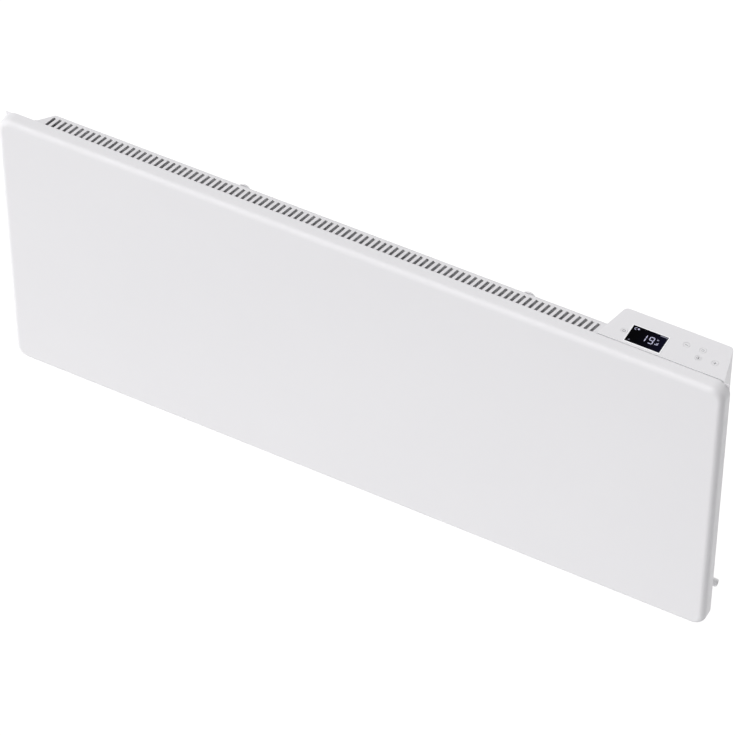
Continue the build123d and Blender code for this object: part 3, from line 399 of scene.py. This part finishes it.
def soften(piece, width, angle):
    """Round the edges that are sharper than angle; width in millimetres."""
    bevel = piece.modifiers.new("edges", "BEVEL")
    bevel.width = width * MM
    bevel.segments = 2
    bevel.limit_method = "ANGLE"
    bevel.angle_limit = angle
    return bevel


for name, width in SOFT_EDGES.items():
    weld = nodes[name].modifiers.new("joined", "WELD")
    weld.merge_threshold = WELD_DISTANCE
    flats = nodes[name].modifiers.new("flats", "DECIMATE")
    flats.decimate_type = "DISSOLVE"
    flats.angle_limit = FLAT_ANGLE
    soften(nodes[name], width, HARD_EDGE).harden_normals = True


# ------------------------------------------------------------------ mesh helpers

ON_AXIS = 1e-9


def finished(name, mesh, material, body, smooth=40.0):
    """Turn a bmesh into a piece that rides on a body."""
    bmesh.ops.recalc_face_normals(mesh, faces=mesh.faces)
    data = bpy.data.meshes.new(name)
    mesh.to_mesh(data)
    mesh.free()
    data.materials.append(material)
    for polygon in data.polygons:
        polygon.use_smooth = True
    data.set_sharp_from_angle(angle=math.radians(smooth))
    piece = add_object(name, data)
    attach(piece, body)
    return piece


def band(mesh, one, two):
    """Four-sided faces between two rings of vertices."""
    for step in range(len(one)):
        after = (step + 1) % len(one)
        mesh.faces.new([one[step], one[after], two[after], two[step]])


def turned(mesh, local, profile, sides, shape=None, closed=False):
    """Revolve (radius, height) pairs; shape(radius, angle, height) may change a point."""
    rings = []
    for radius, height in profile:
        ring = []
        for step in range(1 if radius < ON_AXIS else sides):
            angle = 2 * math.pi * step / sides
            r, z = shape(radius, angle, height) if shape else (radius, height)
            ring.append(mesh.verts.new(local @ Vector((r * math.cos(angle), r * math.sin(angle), z))))
        rings.append(ring)
    for inner, outer in zip(rings, rings[1:] + (rings[:1] if closed else [])):
        for step in range(sides):
            corners = []
            for ring, turn in ((inner, step), (outer, step), (outer, step + 1), (inner, step + 1)):
                corner = ring[turn % len(ring)]
                if corner not in corners:
                    corners.append(corner)
            if len(corners) > 2:
                mesh.faces.new(corners)


def axes_at(origin, outward):
    """Local frame in millimetres whose +Z is the outward direction."""
    z = Vector(outward).normalized()
    x = Vector((1, 0, 0)) if abs(z.x) < 0.9 else Vector((0, 0, 1))
    x = (x - z * x.dot(z)).normalized()
    y = z.cross(x)
    turn = Matrix((x, y, z)).transposed().to_4x4()
    return Matrix.Translation(origin) @ turn @ Matrix.Scale(MM, 4)


# ------------------------------------------------------------------ screws and rivets


class Fastener:
    """Sizes in millimetres: head across and high, shank across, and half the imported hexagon's flats."""

    def __init__(self, head, height, shank, half_flats):
        self.head = head
        self.height = height
        self.shank = shank
        self.half_flats = half_flats


SHEET_SCREW = Fastener(head=8.0, height=2.2, shank=3.9, half_flats=3.464)
BOARD_SCREW = Fastener(head=6.0, height=2.0, shank=2.9, half_flats=2.598)
RIVET = Fastener(head=7.0, height=1.2, shank=3.9, half_flats=3.031)

# the pan head's crown and cross recess, as shares of the head's width, its height or the recess
CROWN_STEPS, CROWN_DROP = 13, 0.30
RECESS_ARM, RECESS_REACH, RECESS_DEPTH = 0.075, 0.27, 0.55
RECESS_SIDE, RECESS_END = 0.45, 0.25
HEAD_SIDES = 48

# the thread's pitch in millimetres; its root, its ridge and the point as shares of the shank
THREAD_PITCH, THREAD_SIDES, RINGS_PER_TURN = 1.4, 16, 6
THREAD_ROOT, THREAD_RIDGE = 0.80, 0.18
POINT_LENGTH, POINT_WIDTH = 0.6, 0.25

# the rivet's stem as a share of its head, its rim as a share of the stem, the dome as shares of the height
STEM, STEM_RIM = 0.14, 1.5
DOME_STEPS, DOME_TOP, DOME_DROP, DOME_POWER = 8, 0.94, 0.74, 2.2
RIVET_SIDES = 32


def pan_screw(mesh, origin, outward, screw, length):
    """Pan head with a cross recess on a threaded, pointed shank; length in millimetres."""
    local = axes_at(origin, outward)
    radius, height = screw.head / 2, screw.height
    arm = screw.head * RECESS_ARM
    reach = screw.head * RECESS_REACH

    def recess(distance, angle, level):
        x, y = abs(distance * math.cos(angle)), abs(distance * math.sin(angle))
        across, along = min(x, y), max(x, y)
        if level > height / 2 and across < arm and along < reach:
            side = min(1.0, (arm - across) / (arm * RECESS_SIDE))
            end = min(1.0, (reach - along) / (reach * RECESS_END))
            return distance, level - height * RECESS_DEPTH * min(side, end)
        return distance, level

    profile = [
        (radius * part / CROWN_STEPS, height - height * CROWN_DROP * (part / CROWN_STEPS) ** 4)
        for part in range(CROWN_STEPS + 1)
    ]
    profile += [(radius, height * 0.62), (radius, height * 0.10), (radius * 0.97, 0.0), (0.0, 0.0)]
    turned(mesh, local, profile, HEAD_SIDES, recess)

    rings = int(length / THREAD_PITCH * RINGS_PER_TURN)
    rows = []
    for ring in range(rings + 1):
        # the first ring lies inside the head
        depth = -length * ring / rings if ring else height * 0.2
        taper = max(POINT_WIDTH, min(1.0, (length + depth) / (screw.shank * POINT_LENGTH)))
        row = []
        for step in range(THREAD_SIDES):
            angle = 2 * math.pi * step / THREAD_SIDES
            phase = (depth / THREAD_PITCH + step / THREAD_SIDES) % 1.0
            ridge = THREAD_ROOT + THREAD_RIDGE * (1 - abs(2 * phase - 1))
            across = screw.shank / 2 * ridge * taper
            point = Vector((across * math.cos(angle), across * math.sin(angle), depth))
            row.append(mesh.verts.new(local @ point))
        rows.append(row)
    for upper, lower in zip(rows, rows[1:]):
        band(mesh, upper, lower)
    mesh.faces.new(rows[0])
    mesh.faces.new(rows[-1])


def dome_rivet(mesh, origin, outward, rivet, length):
    """Blind rivet: domed head with its pulled stem in the middle; length in millimetres."""
    radius, height = rivet.head / 2, rivet.height
    stem = rivet.head * STEM
    rim = stem * STEM_RIM
    half_shank = rivet.shank / 2
    profile = [
        (0.0, height * 0.62),
        (stem * 0.8, height * 0.60),
        (stem, height * 0.50),
        (stem * 1.15, height * 0.50),
        (rim, height * DOME_TOP),
    ]
    for part in range(1, DOME_STEPS + 1):
        share = part / DOME_STEPS
        profile.append((rim + (radius - rim) * share, height * (DOME_TOP - DOME_DROP * share**DOME_POWER)))
    profile += [(radius, height * 0.06), (radius * 0.97, 0.0), (half_shank * 0.96, 0.0)]
    profile += [(half_shank * 0.96, -length * 0.96), (half_shank * 0.80, -length), (0.0, -length)]
    turned(mesh, axes_at(origin, outward), profile, RIVET_SIDES)


# millimetres; the casing's screws sit in the middle of the tray's lip, at the panel's quarters
LIP_LINE, FLANGE_REAR = 5.0, 18.0
QUARTERS = (0.25, 0.75)
HOOKS = (-170.0, 170.0)
TONGUE_WIDTH, LOOP_SIDE_GAP, LOOP_SHEET, LOOP_FOOT = 14.4, 1.4, 1.2, 12.0
RAIL_Z, RAIL_RIVET = 100.0, 6.5

screws = bmesh.new()
spots = [(x, PANEL_HEIGHT * share) for x in (LIP_LINE, PANEL_WIDTH - LIP_LINE) for share in QUARTERS]
spots += [(PANEL_WIDTH * share, LIP_LINE) for share in QUARTERS]
for x, z in spots:
    pan_screw(screws, place(x, FLANGE_REAR, z), BACKWARD, SHEET_SCREW, length=8.0)
piece = finished("casing_screw_set", screws, plated_steel, "heater")
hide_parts("casing_screws")

radius, flats, seat = SHEET_SCREW.head / 2 * MM, SHEET_SCREW.half_flats * MM, SHEET_SCREW.height * MM

low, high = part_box("terminal_screws")
screws = bmesh.new()
for x, z in ((low.x + radius, low.z + flats), (high.x - radius, high.z - flats)):
    pan_screw(screws, Vector((x, high.y - seat, z)), BACKWARD, SHEET_SCREW, length=25.5)
piece = finished("terminal_screw_set", screws, plated_steel, "heater")
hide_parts("terminal_screws")

low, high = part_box("housing_screws")
screws = bmesh.new()
for x in (low.x + radius, high.x - radius):
    spot = Vector((x, (low.y + high.y) / 2, low.z + seat))
    pan_screw(screws, spot, DOWNWARD, SHEET_SCREW, length=8.0)
piece = finished("housing_screw_set", screws, plated_steel, "heater")
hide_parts("housing_screws")

radius, flats, seat = BOARD_SCREW.head / 2 * MM, BOARD_SCREW.half_flats * MM, BOARD_SCREW.height * MM

low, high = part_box("board_screws")
screws = bmesh.new()
for x in (low.x + radius, high.x - radius):
    for y in (low.y + flats, high.y - flats):
        pan_screw(screws, Vector((x, y, high.z - seat)), UPWARD, BOARD_SCREW, length=7.5)
piece = finished("board_screw_set", screws, plated_steel, "heater")
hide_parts("board_screws")

radius, flats, seat = RIVET.head / 2 * MM, RIVET.half_flats * MM, RIVET.height * MM

low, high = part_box("loop_rivets")
rivets = bmesh.new()
loop_reach = TONGUE_WIDTH / 2 + LOOP_SIDE_GAP + LOOP_SHEET / 2 + LOOP_FOOT / 2
for hook in HOOKS:
    for side in (-1, 1):
        for z in (high.z - flats, low.z + flats):
            spot = Vector(((hook + side * loop_reach) * MM, high.y - seat, z))
            dome_rivet(rivets, spot, BACKWARD, RIVET, length=2.2)
piece = finished("loop_rivet_set", rivets, plated_steel, "heater")
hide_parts("loop_rivets")

low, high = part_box("bracket_rivets")
rivets = bmesh.new()
for x in (low.x + radius, high.x - radius):
    for rail in (1, -1):
        for offset in (-RAIL_RIVET, RAIL_RIVET):
            spot = Vector((x, low.y + seat, rail * (RAIL_Z + offset) * MM))
            dome_rivet(rivets, spot, FORWARD, RIVET, length=2.8)
piece = finished("bracket_rivet_set", rivets, plated_steel, "bracket")
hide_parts("bracket_rivets")

# ------------------------------------------------------------------ cable gland with a fluted nut

# millimetres along the gland from the cover's outer face, and from its axis
GLAND_THREAD = 8.0
BASE_HALF_FLATS, BASE_HEIGHT, BASE_LEAST = 8.0, 5.0, 7.5
NUT_TOP, NUT_LEAST = 18.6, 5.0
FLUTES, FLUTE_DEPTH = 12, 0.45
FLUTE_START, FLUTE_RISE, FLUTE_FALL = 5.2, 1.2, 3.0
GLAND_TURNS, GLAND_PITCH = 12, 0.62
GLAND_SIDES = 72
HEX_HALF, HEX_STEP = math.pi / 6, math.pi / 3

low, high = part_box("cable_gland")
gland_base = Vector((low.x + GLAND_THREAD * MM, (low.y + high.y) / 2, (low.z + high.z) / 2))


def gland_shape(radius, angle, height):
    """Six flats on the base and flutes on the nut."""
    if 0.0 <= height <= BASE_HEIGHT and radius > BASE_LEAST:
        flat = BASE_HALF_FLATS / math.cos(((angle + HEX_HALF) % HEX_STEP) - HEX_HALF)
        return min(flat, radius), height
    if BASE_HEIGHT < height < NUT_TOP and radius > NUT_LEAST:
        groove = max(0.0, math.cos(FLUTES * angle)) ** 2
        fade = min(1.0, (height - FLUTE_START) / FLUTE_RISE, (NUT_TOP - height) / FLUTE_FALL)
        return radius - FLUTE_DEPTH * groove * fade, height
    return radius, height


# (radius, height): a fine thread inside the cover, base, nut, nose and back into the bore
profile = [(3.1, -8.0), (5.2, -8.0)]
for step in range(GLAND_TURNS):
    profile += [(5.3, -7.7 + step * GLAND_PITCH), (5.75, -7.4 + step * GLAND_PITCH)]
profile += [(5.75, 0.0), (8.3, 0.0), (9.24, 0.5), (9.24, 4.5), (8.3, 5.0)]
profile += [(6.7, 5.0), (6.95, 5.3), (6.95, 7.2), (6.8, 7.9), (6.4, 9.6), (5.95, 12.0)]
profile += [(5.45, 14.6), (5.05, 16.8), (4.75, 18.6), (4.6, 19.0)]
profile += [(4.6, 22.9), (4.5, 23.5), (4.2, 23.9), (3.9, 24.0), (3.3, 24.0), (3.1, 23.6)]
gland = bmesh.new()
turned(gland, axes_at(gland_base, RIGHTWARD), profile, GLAND_SIDES, gland_shape, closed=True)
# the gland's own pale white plastic, set lighter than the panel's white as painted light where the panel
# shades it
pale_plastic_painted_light = moulded("moulded_pale_painted_light", (0.88, 0.88, 0.89), (0.91, 0.91, 0.92), 0.46)
piece = finished("fluted_cable_gland", gland, pale_plastic_painted_light, "heater", smooth=32.0)
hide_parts("cable_gland")

# ------------------------------------------------------------------ flat marks for the keys and the display

STROKE_CAP, ARC_STEPS = 5, 36
SEGMENT_GAP = 0.16


class Marks:
    """A mesh of thin flat shapes; places are millimetres right of and above a middle point."""

    def __init__(self, middle_point, level, depth):
        self.mesh = bmesh.new()
        self.middle = middle_point
        self.level = level
        self.depth = depth

    def spot(self, dx, dy):
        return (self.middle.x + dx * MM, self.middle.y + dy * MM)

    def outline(self, points):
        """A shape from the points of its outline, these in metres."""
        bottom = [self.mesh.verts.new((x, y, self.level)) for x, y in points]
        top = [self.mesh.verts.new((x, y, self.level + self.depth)) for x, y in points]
        self.mesh.faces.new(top)
        self.mesh.faces.new(list(reversed(bottom)))
        band(self.mesh, bottom, top)

    def stroke(self, start, end, width):
        """A bar with round ends."""
        start, end = Vector(self.spot(*start)), Vector(self.spot(*end))
        half = width * MM / 2
        along = end - start
        heading = math.atan2(along.y, along.x)
        points = []
        for tip, turn in ((end, heading - math.pi / 2), (start, heading + math.pi / 2)):
            for step in range(STROKE_CAP + 1):
                angle = turn + math.pi * step / STROKE_CAP
                points.append((tip.x + half * math.cos(angle), tip.y + half * math.sin(angle)))
        self.outline(points)

    def arc(self, centre, radius, width, start=0, end=360):
        """A ring, or part of one; angles in degrees."""
        closed = abs(end - start) >= 360
        x, y = self.spot(*centre)
        inner, outer = radius * MM - width * MM / 2, radius * MM + width * MM / 2
        top = self.level + self.depth
        section = ((inner, self.level), (inner, top), (outer, top), (outer, self.level))
        rows = []
        for step in range(ARC_STEPS if closed else ARC_STEPS + 1):
            angle = math.radians(start + (end - start) * step / ARC_STEPS)
            c, s = math.cos(angle), math.sin(angle)
            rows.append([self.mesh.verts.new((x + across * c, y + across * s, z)) for across, z in section])
        for one, two in zip(rows, rows[1:]):
            band(self.mesh, one, two)
        if closed:
            band(self.mesh, rows[-1], rows[0])
        else:
            self.mesh.faces.new(rows[0])
            self.mesh.faces.new(rows[-1])

    def segment(self, start, end, width):
        """One bar of a seven-segment digit, with pointed ends."""
        start, end = Vector(start), Vector(end)
        along = (end - start).normalized()
        across = Vector((-along.y, along.x)) * width / 2
        tip = along * width / 2
        points = [start, start + tip + across, end - tip + across]
        points += [end, end - tip - across, start + tip - across]
        self.outline([self.spot(point.x, point.y) for point in points])

    def digit(self, segments, centre, width, height, bar):
        """A seven-segment digit from the letters of its lit segments."""
        left, right = centre[0] - width / 2, centre[0] + width / 2
        bottom, mid, top = centre[1] - height / 2, centre[1], centre[1] + height / 2
        bars = {
            "a": ((left, top), (right, top)),
            "b": ((right, mid), (right, top)),
            "c": ((right, bottom), (right, mid)),
            "d": ((left, bottom), (right, bottom)),
            "f": ((left, mid), (left, top)),
            "g": ((left, mid), (right, mid)),
        }
        gap = bar * SEGMENT_GAP
        for letter in segments:
            start, end = Vector(bars[letter][0]), Vector(bars[letter][1])
            inset = (end - start).normalized() * gap
            self.segment(start + inset, end - inset, bar)


# ------------------------------------------------------------------ keys and their printed signs

# millimetres; levels are depths below the cap's rim, and the sign's is below the panel's top
DISH_RADIUS, DISH_DEPTH, DISH_STEPS = 3.0, 0.22, 10
CAP_RIM = [(3.3, 0.0), (3.42, -0.02), (3.48, -0.07), (3.5, -0.14), (3.5, -2.36), (0.0, -2.36)]
CAP_SIDES, CAP_EDGE, CAP_EDGE_ANGLE = 64, 0.15, math.radians(60)
FLANGE_WIDTH, FLANGE_HEIGHT, FLANGE_LEVEL = 9.0, 1.0, 2.56
STEM_WIDTH, STEM_LEVEL = 3.0, 2.76
SIGN_LEVEL, SIGN_DEPTH = 0.20, 0.10

panel_top = place(0, 0, PANEL_HEIGHT).z


def block(mesh, centre, width, height):
    """A square block, sizes in metres."""
    matrix = Matrix.Translation(Vector(centre)) @ Matrix.Diagonal((width, width, height, 1))
    bmesh.ops.create_cube(mesh, size=1.0, matrix=matrix)


def key_cap(name, node, body):
    """A round cap with a dished top and a rounded rim, on its flange and stem; returns its middle."""
    low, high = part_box(node)
    centre = middle(low, high)
    mesh = bmesh.new()
    profile = []
    for step in range(DISH_STEPS + 1):
        radius = DISH_RADIUS * step / DISH_STEPS
        profile.append((radius, -DISH_DEPTH + DISH_DEPTH * (radius / DISH_RADIUS) ** 2))
    local = Matrix.Translation(Vector((centre.x, centre.y, high.z))) @ Matrix.Scale(MM, 4)
    turned(mesh, local, profile + CAP_RIM, CAP_SIDES)
    flange = (centre.x, centre.y, high.z - FLANGE_LEVEL * MM)
    block(mesh, flange, FLANGE_WIDTH * MM, FLANGE_HEIGHT * MM)
    stem_top = high.z - STEM_LEVEL * MM
    block(mesh, (centre.x, centre.y, (stem_top + low.z) / 2), STEM_WIDTH * MM, stem_top - low.z)
    piece = finished(name, mesh, white_plastic, body)
    soften(piece, CAP_EDGE, CAP_EDGE_ANGLE)
    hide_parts(node)
    return centre


def key_sign(middle_point):
    """An empty sign in the dish of a key."""
    return Marks(middle_point, panel_top - SIGN_LEVEL * MM, SIGN_DEPTH * MM)


sign = key_sign(key_cap("power_key_cap", "key_power", "power_key"))
sign.arc((0, 0), 1.5, 0.42, 125, 415)
sign.stroke((0, 0.5), (0, 1.9), 0.42)
finished("power_key_sign", sign.mesh, print_dark, "power_key")

sign = key_sign(key_cap("minus_key_cap", "key_minus", "minus_key"))
sign.stroke((-1.5, 0), (1.5, 0), 0.6)
finished("minus_key_sign", sign.mesh, print_grey, "minus_key")

sign = key_sign(key_cap("timer_key_cap", "key_timer", "timer_key"))
sign.arc((0, 0), 1.5, 0.28)
sign.stroke((0, 0), (0, 0.95), 0.26)
sign.stroke((0, 0), (0.7, 0), 0.26)
finished("timer_key_sign", sign.mesh, print_grey, "timer_key")

sign = key_sign(key_cap("mode_key_cap", "key_mode", "mode_key"))
sign.arc((0, 0), 0.45, 0.9)
sign.arc((0, 0), 2.1, 0.26)
finished("mode_key_sign", sign.mesh, print_dark, "mode_key")

sign = key_sign(key_cap("plus_key_cap", "key_plus", "plus_key"))
sign.stroke((-1.5, 0), (1.5, 0), 0.6)
sign.stroke((0, -1.5), (0, 1.5), 0.6)
finished("plus_key_sign", sign.mesh, print_grey, "plus_key")

# ------------------------------------------------------------------ the display's number 19 and signs

DIGIT_BAR = 0.95
GLASS_GAP, GLASS_DEPTH = 0.01, 0.03
BAR_LEFT, BAR_PITCH, BAR_WIDTH = 10.4, 1.3, 0.7
BAR_BOTTOM, BAR_TOP, BAR_RISE = -3.8, -2.4, 1.2

low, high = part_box("display_window")
window_middle = middle(low, high)
glass_level = high.z + GLASS_GAP * MM


def window_marks():
    """An empty set of marks on the window."""
    return Marks(window_middle, glass_level, GLASS_DEPTH * MM)


figures = window_marks()
figures.digit("bc", (-3.4, 0.3), 5.0, 9.4, DIGIT_BAR)
figures.digit("abcdfg", (5.4, 0.0), 4.6, 9.2, DIGIT_BAR)
finished("display_number", figures.mesh, lit, "heater")

# degree ring and three level bars after the number; crescent and dot above left
signs = window_marks()
signs.arc((11.4, 3.6), 0.75, 0.34)
for step in range(3):
    x = BAR_LEFT + step * BAR_PITCH
    top = BAR_TOP + step * BAR_RISE
    corners = ((x, BAR_BOTTOM), (x + BAR_WIDTH, BAR_BOTTOM), (x + BAR_WIDTH, top), (x, top))
    signs.outline([signs.spot(*corner) for corner in corners])
signs.arc((-15.6, 8.2), 1.5, 0.5, 70, 290)
signs.arc((-12.9, 8.6), 0.55, 1.1)
finished("display_signs", signs.mesh, lit, "heater")

# small ring below left and short bar above right
signs = window_marks()
signs.arc((-15.9, -9.2), 0.7, 0.4)
signs.stroke((11.4, 10.7), (18.6, 10.7), 1.1)
finished("display_faint_signs", signs.mesh, faint, "heater")

# ------------------------------------------------------------------ floor, light and camera

FLOOR_CELLS, FLOOR_SIZE, FLOOR_LEVEL = 8, 14.0, -0.6
# the floor darkens between these distances toward the right and the front
SHADE_DIRECTION, SHADE_FROM, SHADE_TO = (0.8, -0.6, 0.0), 0.45, 1.4
SKY_FADE = 0.2
SUN_STRENGTH, SUN_SPREAD, SUN_DIRECTION = 2.36, math.radians(60), (-0.51, -0.575, 0.64)
CAMERA_PLACE = (1.48695, -2.86767, 3.36965)
AZIMUTH, ELEVATION, ROLL = math.radians(28.10), math.radians(46.58), math.radians(0.07)
SENSOR, FOCAL_PIXELS, PICTURE_PIXELS = 36.0, 4268.0, 736.0
CLIP_END = 60.0

floor_mesh = bmesh.new()
bmesh.ops.create_grid(floor_mesh, x_segments=FLOOR_CELLS, y_segments=FLOOR_CELLS, size=FLOOR_SIZE)
floor_data = bpy.data.meshes.new("floor")
floor_mesh.to_mesh(floor_data)
floor_mesh.free()
floor = add_object("floor", floor_data)
floor.location = (0, 0, FLOOR_LEVEL)
floor_paint = Shader("pale_floor", (0.14, 0.14, 0.14), 0.9, specular=0.1)
shade = floor_paint.spread(floor_paint.along(*SHADE_DIRECTION), 0.0, 1.0, SHADE_FROM, SHADE_TO)
floor_paint.glow(1.0, shade, (0.0, (0.92, 0.92, 0.92)), (1.0, (0.45, 0.45, 0.46)))
floor_data.materials.append(floor_paint.material)

world = bpy.data.worlds.new("studio")
bpy.context.scene.world = world
world.use_nodes = True
tree = world.node_tree
direction = tree.nodes.new("ShaderNodeTexCoord").outputs["Generated"]


def toward(x, y, low, high):
    """Sky level that eases from low to high toward one side of the room."""
    dot = tree.nodes.new("ShaderNodeVectorMath")
    dot.operation = "DOT_PRODUCT"
    dot.inputs[1].default_value = (x, y, 0.0)
    tree.links.new(direction, dot.inputs[0])
    ease = tree.nodes.new("ShaderNodeMapRange")
    ease.interpolation_type = "SMOOTHSTEP"
    ease.inputs["From Min"].default_value = SKY_FADE
    ease.inputs["To Min"].default_value = low
    ease.inputs["To Max"].default_value = high
    tree.links.new(dot.outputs["Value"], ease.inputs["Value"])
    return ease.outputs["Result"]


sky = tree.nodes.new("ShaderNodeMath")
sky.operation = "ADD"
tree.links.new(toward(0.80, -0.60, 0.5, 0.12), sky.inputs[0])
tree.links.new(toward(0.55, 0.835, 0.0, 0.6), sky.inputs[1])
tree.links.new(sky.outputs["Value"], tree.nodes["Background"].inputs["Strength"])
tree.nodes["Background"].inputs["Color"].default_value = (1.0, 1.0, 1.0, 1.0)

sun = bpy.data.lights.new("soft_key", "SUN")
sun.energy = SUN_STRENGTH
sun.angle = SUN_SPREAD
key = add_object("soft_key", sun)
key.rotation_mode = "QUATERNION"
key.rotation_quaternion = Vector(SUN_DIRECTION).to_track_quat("Z", "Y")

level_reach = math.cos(ELEVATION)
forward = Vector((-math.sin(AZIMUTH) * level_reach, math.cos(AZIMUTH) * level_reach, -math.sin(ELEVATION)))
right = Vector((math.cos(AZIMUTH), math.sin(AZIMUTH), 0))
up = right.cross(forward)
across = right * math.cos(ROLL) + up * math.sin(ROLL)
upward = up * math.cos(ROLL) - right * math.sin(ROLL)
lens = bpy.data.cameras.new("camera")
lens.sensor_width = SENSOR
lens.lens = SENSOR * FOCAL_PIXELS / PICTURE_PIXELS
lens.clip_end = CLIP_END
camera = add_object("camera", lens)
turn = Matrix((across, upward, -forward)).transposed().to_4x4()
camera.matrix_world = Matrix.Translation(CAMERA_PLACE) @ turn
bpy.context.scene.camera = camera
bpy.context.scene.view_settings.view_transform = "Standard"

bpy.context.view_layer.update()
